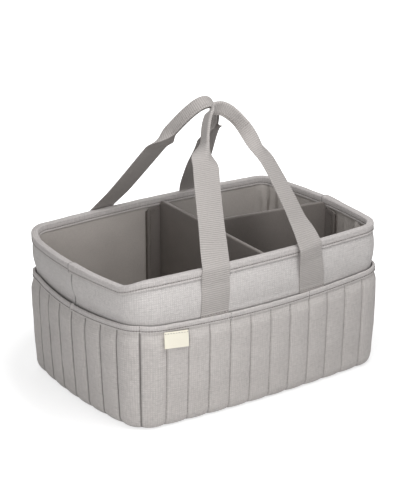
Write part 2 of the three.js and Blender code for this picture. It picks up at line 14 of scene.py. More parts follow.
import bpy
import numpy as np
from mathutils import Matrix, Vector


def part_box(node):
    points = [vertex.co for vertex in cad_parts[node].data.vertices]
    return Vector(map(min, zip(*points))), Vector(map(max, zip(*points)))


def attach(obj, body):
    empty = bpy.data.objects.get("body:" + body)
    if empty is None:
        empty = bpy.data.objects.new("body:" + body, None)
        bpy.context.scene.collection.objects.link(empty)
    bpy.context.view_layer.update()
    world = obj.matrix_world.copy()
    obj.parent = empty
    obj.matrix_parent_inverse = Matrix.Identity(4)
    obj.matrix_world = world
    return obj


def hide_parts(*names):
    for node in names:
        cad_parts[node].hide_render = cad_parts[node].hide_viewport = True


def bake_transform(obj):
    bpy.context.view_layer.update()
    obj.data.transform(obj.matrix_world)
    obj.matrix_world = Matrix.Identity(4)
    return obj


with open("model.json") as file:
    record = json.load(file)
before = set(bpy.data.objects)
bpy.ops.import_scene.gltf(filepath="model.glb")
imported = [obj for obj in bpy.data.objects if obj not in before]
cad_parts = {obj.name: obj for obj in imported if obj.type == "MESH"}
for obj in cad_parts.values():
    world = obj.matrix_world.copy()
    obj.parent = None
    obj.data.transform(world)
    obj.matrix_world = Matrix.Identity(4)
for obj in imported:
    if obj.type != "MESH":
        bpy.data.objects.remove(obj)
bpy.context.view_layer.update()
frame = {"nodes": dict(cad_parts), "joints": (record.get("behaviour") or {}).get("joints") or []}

MM = 0.001
SEWN_GAP = 0.3 * MM
UV_NAME = "Weave"
# Point attribute that carries painted shade: how far the cloth colour is darkened in seam grooves, under tape edges
# and behind the pockets' mouths, from 0 to 1.
PAINTED_SHADE_ATTRIBUTE = "Seam"
SHARP_ANGLE = math.radians(55)
TINY = 1e-9
SEAM_POINTS, SEAM_CROWDING = 9, 1.5
HEM_ROWS = 1.2
# Strength and width of the painted shade line at a tape's lapped ends.
LAP_DARK, LAP_LINE = 0.9, 0.8 * MM
# The first factor spreads each cloth's colour; the second gives the cloth colour where the painted shade is full.
COLOUR_SWING, PAINTED_SHADE_GAIN = 0.45, 0.12

log = logging.getLogger("caddy")

Array = np.ndarray
Piece = bpy.types.Object
Material = bpy.types.Material
Colour = tuple[int, int, int]
Lines = list[Array]
Span = tuple[float, float]


# Small maths helpers

def smoothstep(x: Array | float, low: Array | float, high: Array | float) -> Array:
    """Ease from 0 at low to 1 at high."""
    share = np.clip((np.asarray(x, float) - low) / (high - low), 0.0, 1.0)
    return share * share * (3 - 2 * share)


def crowded(count: int) -> Array:
    """Shares from 0 to 1 that crowd towards both ends."""
    return 0.5 - 0.5 * np.cos(np.pi * np.linspace(0, 1, count))


def eased(x: Array, knots: Sequence[tuple[float, float]]) -> Array:
    """Ease from knot to knot.

    Args:
        x: Places to read.
        knots: Place and value of each knot, in order.

    Returns:
        The value at each place, level before the first knot and after the last.
    """
    places, values = np.array(knots, float).T
    first = np.clip(np.searchsorted(places, x) - 1, 0, len(places) - 2)
    return values[first] + (values[first + 1] - values[first]) * smoothstep(x, places[first], places[first + 1])


def line_at(distance: Array, reach: float) -> Array:
    """Strength of a thin line: 1 on it, and fading over the given reach."""
    return np.exp(-(distance / reach) ** 2)


def linear(colour: Colour, gain: float = 1.0) -> tuple[float, float, float, float]:
    """Turn a written 8-bit colour into the linear colour that a shader reads.

    Args:
        colour: Red, green and blue from 0 to 255.
        gain: Factor on the linear values.

    Returns:
        Red, green, blue and an alpha of 1.
    """
    shares = [c / 255 for c in colour]
    values = [s / 12.92 if s <= 0.04045 else ((s + 0.055) / 1.055) ** 2.4 for s in shares]
    return tuple(min(v * gain, 1.0) for v in values) + (1.0,)


class SmoothNoise:
    """Repeatable smooth noise over a plane, from about -1 to 1.

    Lengths are divided by the size of a noise cell before they are read.
    """

    TABLE = 64
    GAIN = 1.5

    def __init__(self, seed: int) -> None:
        """Draw the table of slopes from a fixed seed."""
        turns = np.random.default_rng(seed).uniform(0, 2 * np.pi, (self.TABLE, self.TABLE))
        self._slopes = np.stack([np.cos(turns), np.sin(turns)], axis=-1)

    def __call__(self, u: Array, v: Array) -> Array:
        """Read the noise.

        Args:
            u: First coordinate, in noise cells.
            v: Second coordinate, in noise cells.

        Returns:
            The noise at each place, in the shape that u and v share.
        """
        u, v = np.broadcast_arrays(np.asarray(u, float), np.asarray(v, float))
        column, row = np.floor(u).astype(int), np.floor(v).astype(int)
        x, y = u - column, v - row
        ease_x = x ** 3 * (x * (6 * x - 15) + 10)
        ease_y = y ** 3 * (y * (6 * y - 15) + 10)

        def corner(right: int, up: int) -> Array:
            """Share of one cell corner."""
            slope = self._slopes[(column + right) % self.TABLE, (row + up) % self.TABLE]
            return slope[..., 0] * (x - right) + slope[..., 1] * (y - up)

        low = corner(0, 0) * (1 - ease_x) + corner(1, 0) * ease_x
        high = corner(0, 1) * (1 - ease_x) + corner(1, 1) * ease_x
        return self.GAIN * (low * (1 - ease_y) + high * ease_y)


# Mesh helpers

def fine_stations(start: float, end: float, spacing: float) -> Array:
    """Even distances from start to end, no further apart than spacing."""
    return np.linspace(start, end, max(2, math.ceil((end - start) / spacing) + 1))


def seam_stations(start: float, end: float, spacing: float) -> Array:
    """Even distances with more of them close to both ends.

    Args:
        start: First distance.
        end: Last distance.
        spacing: Largest step between two of them.

    Returns:
        The distances, in order.
    """
    even = fine_stations(start, end, spacing)
    near = spacing * crowded(SEAM_POINTS)[1:-1] ** SEAM_CROWDING
    return np.concatenate([even[:1], start + near, even[1:-1], end - near[::-1], even[-1:]])


def folded_section(s: Array, foot: Array, top: Array, leg_rows: int, arc_rows: int,
                   squareness: float = 1.0) -> tuple[Array, Array, Array]:
    """Section of a tape that is folded over an edge.

    Args:
        s: Column of outline distances.
        foot: Height of the tape's lower edges at each station.
        top: Height at which its two legs turn into the fold.
        leg_rows: Rows up each leg.
        arc_rows: Rows round the fold.
        squareness: Power that shapes the fold, 1 for a round one and less for a squarer one.

    Returns:
        How far each row stands outwards, from 1 to -1, how far it stands up, and the height of its seat.
    """
    leg = np.linspace(0, 1, leg_rows)[None, :-1]
    turns = np.linspace(0, np.pi, arc_rows)[None, :]
    across = np.sign(np.cos(turns)) * np.abs(np.cos(turns)) ** squareness
    side = np.hstack([np.ones_like(leg), across, -np.ones_like(leg)]) + 0 * s
    rise = np.hstack([0 * leg, np.abs(np.sin(turns)) ** squareness, 0 * leg]) + 0 * s
    seat = np.hstack([foot + (top - foot) * leg, top + 0 * turns, foot + (top - foot) * leg[:, ::-1]])
    return side, rise, seat


def lap_shade(s: Array) -> Array:
    """Painted shade line at the two lapped ends of a tape, where it steps over the other tape."""
    return LAP_DARK * line_at(np.minimum(s - s[0], s[-1] - s), LAP_LINE)


def surface_uv(points: Array, along: Array) -> Array:
    """Flat cloth coordinates in metres for a grid of points.

    Args:
        points: Grid of shape (stations, rows, 3).
        along: Distance of each station along the cloth.

    Returns:
        Array of shape (stations, rows, 2).
    """
    steps = np.linalg.norm(np.diff(points, axis=1), axis=2).mean(axis=0)
    up = np.concatenate([[0.0], np.cumsum(steps)])
    return np.stack(np.broadcast_arrays(along[:, None], up[None, :]), axis=-1)


def new_object(name: str, data: bpy.types.ID) -> Piece:
    """Make an object and link it to the scene.

    Args:
        name: Name of the object.
        data: Its mesh, lamp or camera.

    Returns:
        The new object.
    """
    piece = bpy.data.objects.new(name, data)
    bpy.context.scene.collection.objects.link(piece)
    return piece


def plate_mesh(name: str, front: Array, back: Array, uv: Array, open_low: bool = False,
               shade: Array | None = None) -> Piece:
    """Make a closed piece from two matching grids, one for each face.

    Args:
        name: Name of the new object.
        front: Grid of points on one face, of shape (stations, rows, 3).
        back: Grid of points on the other face, of the same shape.
        uv: Flat cloth coordinates, of shape (stations, rows, 2).
        open_low: True to leave the wall at the first row open.
        shade: Painted shade of each point of the front face, from 0 to 1, which darkens its cloth colour.

    Returns:
        The new object, linked to the scene.
    """
    count, rows = front.shape[:2]
    size = count * rows
    index = np.arange(size).reshape(count, rows)
    cells = np.stack([index[:-1, :-1], index[1:, :-1], index[1:, 1:], index[:-1, 1:]], axis=-1).reshape(-1, 4)

    def wall(line: Array) -> Array:
        """Quads that join one border of the two faces."""
        return np.stack([line[:-1], line[:-1] + size, line[1:] + size, line[1:]], axis=-1)

    walls = [wall(index[:, -1][::-1]), wall(index[0, :][::-1]), wall(index[-1, :])]
    if not open_low:
        walls.append(wall(index[:, 0]))
    faces = np.concatenate([cells, cells[:, ::-1] + size, *walls])
    points = np.concatenate([front.reshape(-1, 3), back.reshape(-1, 3)])
    a, b, c, d = (points[faces[:, k]] for k in range(4))
    volume = (a * (np.cross(b, c) + np.cross(c, d))).sum()
    if volume < 0:
        faces = faces[:, ::-1]
    mesh = bpy.data.meshes.new(name)
    mesh.from_pydata(points.tolist(), [], faces.tolist())
    flat = np.concatenate([uv.reshape(-1, 2)] * 2)
    layer = mesh.uv_layers.new(name=UV_NAME)
    layer.data.foreach_set("uv", flat[faces.ravel()].astype(np.float32).ravel())
    # Store the painted shade as a point attribute, which the cloth material reads to darken its colour.
    if shade is not None:
        depth = np.concatenate([np.broadcast_to(shade, (count, rows)).ravel(), np.zeros(size)])
        seam = mesh.attributes.new(PAINTED_SHADE_ATTRIBUTE, "FLOAT", "POINT")
        seam.data.foreach_set("value", depth.astype(np.float32))
    mesh.shade_smooth()
    mesh.set_sharp_from_angle(angle=SHARP_ANGLE)
    mesh.update()
    return new_object(name, mesh)


def keep_result(piece: Piece) -> None:
    """Turn a piece's modifiers into plain mesh and remove them.

    Args:
        piece: The object to finish.
    """
    result = bpy.data.meshes.new_from_object(piece.evaluated_get(bpy.context.evaluated_depsgraph_get()))
    piece.modifiers.clear()
    piece.data = result


def paint(piece: Piece, material: Material) -> None:
    """Make a finish the only one of a piece."""
    piece.data.materials.clear()
    piece.data.materials.append(material)


def dress(piece: Piece, material: Material, body: str | None,
          replaces: Sequence[str] = ()) -> None:
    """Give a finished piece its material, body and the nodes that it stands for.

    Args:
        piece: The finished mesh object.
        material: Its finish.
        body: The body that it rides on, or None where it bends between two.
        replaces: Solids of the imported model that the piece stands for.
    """
    paint(piece, material)
    if body is not None:
        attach(piece, body)
    if replaces:
        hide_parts(*replaces)
    log.info("%s: %d faces, for %s", piece.name, len(piece.data.polygons), ", ".join(replaces) or "trim")


def joint_place(body: str) -> Array:
    """Place of the joint that a body moves on."""
    return np.array(next(j["pos_m"] for j in frame["joints"] if j["child"] == body), float)


# Shader graphs

class Value:
    """A shader socket that takes part in arithmetic."""

    def __init__(self, graph: "NodeGraph", socket: bpy.types.NodeSocket) -> None:
        """Wrap one output socket of a graph."""
        self.graph = graph
        self.socket = socket

    def _math(self, operation: str, first: "Value | float", second: "Value | float") -> "Value":
        """Add one Math node."""
        node = self.graph.add("ShaderNodeMath", {"operation": operation}, {0: first, 1: second})
        return Value(self.graph, node.outputs[0])

    def __add__(self, other: "Value | float") -> "Value":
        """Sum of two values."""
        return self._math("ADD", self, other)

    __radd__ = __add__

    def __sub__(self, other: "Value | float") -> "Value":
        """Difference of two values."""
        return self._math("SUBTRACT", self, other)

    def __rsub__(self, other: float) -> "Value":
        """Difference from a number."""
        return self._math("SUBTRACT", other, self)

    def __mul__(self, other: "Value | float") -> "Value":
        """Product of two values."""
        return self._math("MULTIPLY", self, other)

    __rmul__ = __mul__

    def __truediv__(self, other: "Value | float") -> "Value":
        """Quotient of two values."""
        return self._math("DIVIDE", self, other)

    def __rtruediv__(self, other: float) -> "Value":
        """Quotient of a number by this value."""
        return self._math("DIVIDE", other, self)

    def larger(self, other: "Value | float | bpy.types.NodeSocket") -> "Value":
        """The larger of two values."""
        return self._math("MAXIMUM", self, other)

    def sine(self) -> "Value":
        """Sine of the value in radians."""
        return self._math("SINE", self, 0.0)

    def clamped(self) -> "Value":
        """The value held between 0 and 1."""
        node = self.graph.add("ShaderNodeMath", {"operation": "ADD", "use_clamp": True}, {0: self, 1: 0.0})
        return Value(self.graph, node.outputs[0])


class NodeGraph:
    """A node tree under construction."""

    def __init__(self, tree: bpy.types.NodeTree) -> None:
        """Start from an emptied tree."""
        self.tree = tree
        self.tree.nodes.clear()

    @staticmethod
    def socket(sockets: bpy.types.bpy_prop_collection, key: int | str) -> bpy.types.NodeSocket:
        """Find a socket by its index, its identifier or its name."""
        found = None if isinstance(key, int) else next((s for s in sockets if s.identifier == key), None)
        return found or sockets[key]

    def add(self, kind: str, settings: Mapping[str, object] | None = None,
            inputs: Mapping[int | str, object] | None = None) -> bpy.types.Node:
        """Add one node.

        Args:
            kind: Type of the node.
            settings: Properties of the node, which are set first.
            inputs: Values or links for its sockets, by index, identifier or name.

        Returns:
            The new node.
        """
        node = self.tree.nodes.new(kind)
        for key, value in (settings or {}).items():
            setattr(node, key, value)
        for key, value in (inputs or {}).items():
            self.feed(self.socket(node.inputs, key), value)
        return node

    def feed(self, socket: bpy.types.NodeSocket, value: object) -> None:
        """Link a value to a socket, or set a plain number or colour on it.

        Args:
            socket: The input socket.
            value: A value, another node's output or a constant.
        """
        if isinstance(value, (Value, bpy.types.NodeSocket)):
            self.tree.links.new(value.socket if isinstance(value, Value) else value, socket)
        else:
            socket.default_value = value

    def seen_directly(self) -> Value:
        """A value that is 1 on rays from the camera, a gloss or a clear surface."""
        rays = self.add("ShaderNodeLightPath").outputs
        return Value(self, rays["Is Camera Ray"]).larger(rays["Is Glossy Ray"]).larger(rays["Is Transmission Ray"])


class ShaderGraph(NodeGraph):
    """A material under construction, with one Principled shader."""

    def __init__(self, name: str) -> None:
        """Start a material with a shader and its output.

        Args:
            name: Name of the material.
        """
        self.material = bpy.data.materials.new(name)
        self.material.use_nodes = True
        super().__init__(self.material.node_tree)
        self.shader = self.add("ShaderNodeBsdfPrincipled")
        self.add("ShaderNodeOutputMaterial", None, {"Surface": self.shader.outputs["BSDF"]})

    def cloth_place(self) -> tuple[Value, Value]:
        """Read the piece's own map.

        Returns:
            Distance along and up the cloth, in metres.
        """
        place = self.add("ShaderNodeUVMap", {"uv_map": UV_NAME})
        parts = self.add("ShaderNodeSeparateXYZ", None, {"Vector": place.outputs["UV"]})
        return Value(self, parts.outputs["X"]), Value(self, parts.outputs["Y"])

    def object_place(self) -> bpy.types.NodeSocket:
        """Place in the object, in metres."""
        return self.add("ShaderNodeTexCoord").outputs["Object"]

    def cloth_noise(self, along: Value, up: Value, cell_along: float, cell_up: float, detail: float = 1.0) -> Value:
        """Noise over the cloth, from 0 to 1.

        Args:
            along: Distance along the cloth.
            up: Distance up the cloth.
            cell_along: Size of a cell along the cloth, in metres.
            cell_up: Size of a cell up the cloth, in metres.
            detail: Finer layers of noise.

        Returns:
            The noise value.
        """
        place = self.add("ShaderNodeCombineXYZ", None, {"X": along / cell_along, "Y": up / cell_up})
        noise = self.add("ShaderNodeTexNoise", {"noise_dimensions": "2D"},
                         {"Vector": place.outputs["Vector"], "Scale": 1.0, "Detail": detail})
        return Value(self, noise.outputs["Fac"])

    def solid_noise(self, cell: float, detail: float = 2.0) -> Value:
        """Noise through the object with cells of the given size in metres."""
        noise = self.add("ShaderNodeTexNoise", {"noise_dimensions": "3D"},
                         {"Vector": self.object_place(), "Scale": 1 / cell, "Detail": detail})
        return Value(self, noise.outputs["Fac"])

    def ripple(self, distance: Value, pitch: float) -> Value:
        """Sine wave along a distance, from -1 to 1, with the given pitch in metres."""
        return (distance * (2 * math.pi / pitch)).sine()

    def painted_shade(self) -> Value:
        """Painted shade of a place, from 0 to 1, read from the piece's own attribute, or 0 where it has none."""
        return Value(self, self.add("ShaderNodeAttribute", {"attribute_name": PAINTED_SHADE_ATTRIBUTE}).outputs["Fac"])

    def mix(self, share: Value, dark: Value | Sequence[float], light: Value | Sequence[float]) -> Value:
        """Mix two colours by a share from 0 to 1."""
        node = self.add("ShaderNodeMix", {"data_type": "RGBA"},
                        {"Factor_Float": share.clamped(), "A_Color": dark, "B_Color": light})
        return Value(self, self.socket(node.outputs, "Result_Color"))

    def relief(self, height: Value, distance: float, strength: float) -> None:
        """Feed a bump of the given height in metres to the shader's normal."""
        bump = self.add("ShaderNodeBump", None, {"Height": height, "Distance": distance, "Strength": strength})
        self.feed(self.shader.inputs["Normal"], bump.outputs["Normal"])

    def set(self, **inputs: object) -> None:
        """Set the shader's own sockets, named with underscores for spaces."""
        for key, value in inputs.items():
            self.feed(self.shader.inputs[key.replace("_", " ")], value)


class Weave(Enum):
    """How the threads of a cloth cross."""

    CANVAS = "canvas"
    RIBBED = "ribbed"
    SMOOTH = "smooth"


@dataclass(frozen=True)
class ClothFinish:
    """A woven cloth whose threads follow the piece."""

    name: str
    colour: Colour
    weave: Weave
    pitch: float
    contrast: float
    mottling: float
    relief: float
    roughness: float
    sheen: float

    def material(self) -> Material:
        """Build the finish.

        Returns:
            The new material.
        """
        graph = ShaderGraph(self.name)
        along, up = graph.cloth_place()
        rows = graph.ripple(up, self.pitch)
        columns = graph.ripple(along, self.pitch)
        if self.weave is Weave.CANVAS:
            pattern = rows * 0.3 + columns * 0.3 + rows * columns * 0.4
        elif self.weave is Weave.RIBBED:
            pattern = rows * 0.8 + graph.ripple(along, 0.45 * self.pitch) * 0.2
        else:
            pattern = graph.ripple(along + up, self.pitch) * 0.6 + columns * 0.4
        weft = graph.cloth_noise(along, up, 5 * self.pitch, 0.6 * self.pitch)
        warp = graph.cloth_noise(along, up, 0.6 * self.pitch, 5 * self.pitch)
        cloud = graph.cloth_noise(along, up, 0.045, 0.035, detail=2.0)
        grain = graph.cloth_noise(along, up, 1.3 * self.pitch, 1.1 * self.pitch, detail=2.0)
        slub = 0.35 if self.weave is Weave.RIBBED else 1.0
        threads = pattern * 0.6 + ((weft - 0.5) * 0.7 + (warp - 0.5) * 0.6 + (grain - 0.5) * 1.1) * slub
        shade = threads * self.contrast + (cloud - 0.5) * self.mottling + 0.5
        swing = min(COLOUR_SWING, 1 / max(linear(self.colour)[:3]) - 1)
        cloth = graph.mix(shade, linear(self.colour, 1 - swing), linear(self.colour, 1 + swing))
        # Painted shade: darken the cloth colour by the piece's painted shade attribute, which stands for the shade in
        # seams, under tape edges and behind pocket mouths.
        base = graph.mix(graph.painted_shade(), cloth, linear(self.colour, PAINTED_SHADE_GAIN))
        graph.set(Base_Color=base, Roughness=((weft - 0.5) * 0.15 + self.roughness).clamped(),
                  Sheen_Weight=self.sheen, Sheen_Roughness=0.5, Specular_IOR_Level=0.25)
        graph.relief(threads, self.relief, 0.7)
        return graph.material


class Grain(Enum):
    """What the small structure of a plain material looks like."""

    CELLS = "cells"
    FIBRES = "fibres"
    LOOPS = "loops"


@dataclass(frozen=True)
class GrainFinish:
    """Foam, board, tape or thread, with a grain through the material."""

    name: str
    colour: Colour
    grain: Grain
    cell: float
    contrast: float
    relief: float
    roughness: float

    def material(self) -> Material:
        """Build the finish.

        Returns:
            The new material.
        """
        graph = ShaderGraph(self.name)
        if self.grain is Grain.FIBRES:
            grain = graph.solid_noise(self.cell, detail=4.0)
        else:
            node = graph.add("ShaderNodeTexVoronoi", {"feature": "F1"},
                             {"Vector": graph.object_place(), "Scale": 1 / self.cell})
            grain = Value(graph, node.outputs["Distance"])
        cloud = graph.solid_noise(20 * self.cell)
        shade = (grain - 0.5) * self.contrast + (cloud - 0.5) * 0.3 + 0.5
        base = graph.mix(shade, linear(self.colour, 0.6), linear(self.colour, 1.4))
        graph.set(Base_Color=base, Roughness=((cloud - 0.5) * 0.1 + self.roughness).clamped(),
                  Specular_IOR_Level=0.3)
        height = 1 - grain if self.grain is Grain.LOOPS else grain
        graph.relief(height, self.relief, 0.6)
        return graph.material


@dataclass(frozen=True)
class Finishes:
    """All the materials of the caddy, built once."""

    band: Material
    quilt: Material
    binding: Material
    lining: Material
    divider: Material
    webbing: Material
    label: Material
    thread: Material
    seam_thread: Material
    foam: Material
    board: Material
    tape: Material

    @classmethod
    def build(cls) -> "Finishes":
        """Build every finish of the caddy.

        Returns:
            The finished set.
        """
        canvas = {"weave": Weave.CANVAS, "pitch": 2.6 * MM, "contrast": 0.28, "mottling": 0.12,
                  "relief": 0.25 * MM, "roughness": 0.92, "sheen": 0.15}
        smooth = {"weave": Weave.SMOOTH, "pitch": 1.1 * MM, "contrast": 0.22, "mottling": 0.18,
                  "relief": 0.08 * MM, "roughness": 0.62, "sheen": 0.05}
        finishes = dict(
            band=ClothFinish("band_canvas", (204, 200, 198), **canvas),
            # Same canvas as the band; its slightly darker colour is painted shade for the lower, less lit pockets.
            quilt=ClothFinish("quilt_canvas", (194, 189, 186), **canvas),
            binding=ClothFinish("binding_canvas", (196, 191, 189), **canvas),
            lining=ClothFinish("lining_cloth", (186, 180, 175), **smooth),
            divider=ClothFinish("divider_cloth", (126, 120, 116), **smooth),
            webbing=ClothFinish("ribbed_webbing", (177, 172, 169), Weave.RIBBED, 2.6 * MM, 0.3, 0.08,
                                0.2 * MM, 0.85, 0.1),
            label=ClothFinish("cream_label", (246, 241, 224), Weave.RIBBED, 0.9 * MM, 0.12, 0.06,
                              0.08 * MM, 0.8, 0.1),
            thread=GrainFinish("sewing_thread", (170, 164, 159), Grain.FIBRES, 0.5 * MM, 0.8, 0.05 * MM, 0.8),
            # Real stitching thread, whose dark colour is painted shade that stands in for the shade in the stitched
            # grooves.
            seam_thread=GrainFinish("seam_thread", (112, 105, 100), Grain.FIBRES, 0.5 * MM, 0.6, 0.05 * MM, 0.85),
            foam=GrainFinish("padding_foam", (230, 226, 214), Grain.CELLS, 1.2 * MM, 0.7, 0.3 * MM, 0.95),
            board=GrainFinish("stiff_board", (150, 144, 136), Grain.FIBRES, 1.5 * MM, 0.7, 0.1 * MM, 0.8),
            tape=GrainFinish("hook_and_loop", (120, 113, 108), Grain.LOOPS, 1.0 * MM, 1.2, 0.5 * MM, 0.95),
        )
        return cls(**{use: finish.material() for use, finish in finishes.items()})


# The tub's outline and the shape of its wall

@dataclass
class Outline:
    """Plan outline of the tub: four gently bowed sides and four round corners, all tangent arcs."""

    length: float = 0.380
    depth: float = 0.256
    corner: float = 0.034
    long_bow: float = math.radians(4.85)
    end_bow: float = math.radians(9.2)
    rear_pull: float = 4.5 * MM

    def __post_init__(self) -> None:
        """Work out the arcs from the driving sizes."""
        half_long, half_end = self.length / 2 - self.corner, self.depth / 2 - self.corner
        sin_long, sin_end = math.sin(self.long_bow), math.sin(self.end_bow)
        sag_long, sag_end = 1 - math.cos(self.long_bow), 1 - math.cos(self.end_bow)
        scale = sin_long * sin_end - sag_long * sag_end
        long_extra = (half_long * sin_end - half_end * sag_end) / scale
        end_extra = (half_end * sin_long - half_long * sag_long) / scale
        self.long_radius, self.end_radius = self.corner + long_extra, self.corner + end_extra
        corner_x, corner_y = long_extra * sin_long, end_extra * sin_end
        quarter = math.pi / 2
        first = 2.5 * quarter + (self.end_bow - self.long_bow) / 2
        long_shift, end_shift = self.depth / 2 - self.long_radius, self.length / 2 - self.end_radius
        sides = ((3, self.long_bow), (4, self.end_bow), (5, self.long_bow), (6, self.end_bow))
        bends = [k * quarter + sign * bow for k, bow in sides for sign in (-1, 1)]
        turns = [first, *bends, first + 4 * quarter]
        corner, long, end = self.corner, self.long_radius, self.end_radius
        centres = [(-corner_x, -corner_y, corner), (0.0, -long_shift, long), (corner_x, -corner_y, corner),
                   (end_shift, 0.0, end), (corner_x, corner_y, corner), (0.0, long_shift, long),
                   (-corner_x, corner_y, corner), (-end_shift, 0.0, end), (-corner_x, -corner_y, corner)]
        self._arcs = np.array([(*centre, *ends) for centre, ends in zip(centres, zip(turns, turns[1:]))])
        sizes = self._arcs[:, 2] * (self._arcs[:, 4] - self._arcs[:, 3])
        self._starts = np.concatenate([[0.0], np.cumsum(sizes)[:-1]])
        self.total = float(sizes.sum())
        self.long_side = float(2 * sizes[0] + sizes[1])
        self.end_side = float(2 * sizes[0] + sizes[3])
        self.corner_reach = float(sizes[0])

    def pull(self, s: Array) -> Array:
        """How far out the two rear corners are pulled.

        Args:
            s: Distance along the outline, within one round.

        Returns:
            Distance outwards, which is 0 away from those corners.
        """
        corners = (self.total / 2, self.total / 2 + self.long_side)
        away = np.minimum(*(np.abs(s - corner) for corner in corners))
        return self.rear_pull * np.cos(np.pi / 2 * np.clip(away / self.corner_reach, 0.0, 1.0)) ** 2

    def at(self, s: Array, offset: Array | float = 0.0) -> tuple[Array, Array]:
        """Points of the outline.

        Args:
            s: Distance along the outline.
            offset: Distance outwards from it.

        Returns:
            The points and the outward normals, each with x and y last.
        """
        s, offset = np.broadcast_arrays(np.asarray(s, float), np.asarray(offset, float))
        along = np.mod(s, self.total)
        which = np.searchsorted(self._starts, along, side="right") - 1
        arc = self._arcs[which]
        turn = arc[..., 3] + (along - self._starts[which]) / arc[..., 2]
        normal = np.stack([np.cos(turn), np.sin(turn)], axis=-1)
        return arc[..., :2] + normal * (arc[..., 2] + offset + self.pull(along))[..., None], normal

    def place(self, s: Array, offset: Array, z: Array) -> Array:
        """Points in space at an outline distance, an outward offset and a height."""
        s, offset, z = np.broadcast_arrays(s, offset, z)
        return np.concatenate([self.at(s, offset)[0], z[..., None]], axis=-1)


class Half(Enum):
    """The two halves that each sewn ring of cloth is cut in."""

    FRONT = "front"
    REAR = "rear"


@dataclass
class Wall:
    """Shape of the padded wall that every sewn layer follows."""

    outline: Outline = field(default_factory=Outline)
    height: float = 0.187
    outer_cloth: float = 1.2 * MM
    foam: float = 3 * MM
    lining_cloth: float = 1.0 * MM
    band_bulge: float = 2.5 * MM
    left_lean: float = 6 * MM
    left_dip: float = 10 * MM
    rim_tape: float = 1.2 * MM
    rim_tape_depth: float = 10 * MM
    tuck_height: float = 14 * MM
    pocket_height: float = 131.5 * MM
    pocket_tape: float = 0.7 * MM
    seam_crease: float = 1.3 * MM
    seam_reach: float = 1.3 * MM
    slack: float = 0.3
    fine_slack: float = 0.16

    def __post_init__(self) -> None:
        """Work out the sizes that follow."""
        self.stack = self.outer_cloth + self.foam + self.lining_cloth + 2 * SEWN_GAP
        self.rim_round = self.stack / 2 + SEWN_GAP + self.rim_tape
        self.band_foot = self.pocket_height + SEWN_GAP + 2 * self.pocket_tape
        self.tuck = self.outer_cloth + self.foam + SEWN_GAP
        self._noise = SmoothNoise(11)

    def span(self, half: Half) -> Span:
        """Outline distances at which a half starts and ends, in the middle of the two ends."""
        start = (self.outline.total / 2 if half is Half.REAR else 0.0) - self.outline.end_side / 2
        return start + SEWN_GAP / 2, start + self.outline.total / 2 - SEWN_GAP / 2

    def from_seam(self, s: Array) -> Array:
        """Distance along the outline to the nearest of the two end seams."""
        past = np.mod(s + self.outline.end_side / 2, self.outline.total / 2)
        return np.minimum(past, self.outline.total / 2 - past)

    def left_share(self, s: Array) -> Array:
        """How much a place belongs to the left end, from 0 to 1."""
        return np.minimum(self.outline.at(s)[1][..., 0], 0.0) ** 2

    def rim(self, s: Array) -> Array:
        """Height of the rim."""
        return self.height - self.left_dip * self.left_share(s) ** 2

    def tape_foot(self, s: Array) -> Array:
        """Height of the rim binding's lower edges."""
        return self.rim(s) - self.rim_tape_depth

    def lean(self, s: Array, z: Array) -> Array:
        """How far the left end leans out at a height."""
        rise = (z - self.band_foot) / (self.rim(s) - self.band_foot)
        return self.left_lean * self.left_share(s) * np.maximum(rise, 0.0)

    def band_share(self, s: Array, z: Array) -> Array:
        """Share of the way up the band between the pockets and the rim binding."""
        return np.clip((z - self.band_foot) / (self.tape_foot(s) - self.band_foot), 0.0, 1.0)

    def band_face(self, s: Array, z: Array) -> Array:
        """Outward offset of the band's soft outer face.

        Args:
            s: Distance along the outline.
            z: Height.

        Returns:
            Offset from the outline, with the swell, the slack of the cloth and the end seams.
        """
        swell = np.sin(np.pi * self.band_share(s, z))
        slack = self.slack * self._noise(s / 0.055, z / 0.05) + self.fine_slack * self._noise(s / 0.021 + 7, z / 0.03)
        crease = self.seam_crease * line_at(self.from_seam(s), self.seam_reach)
        return self.lean(s, z) + self.band_bulge * swell * (1 + slack) - crease * (swell > 0)


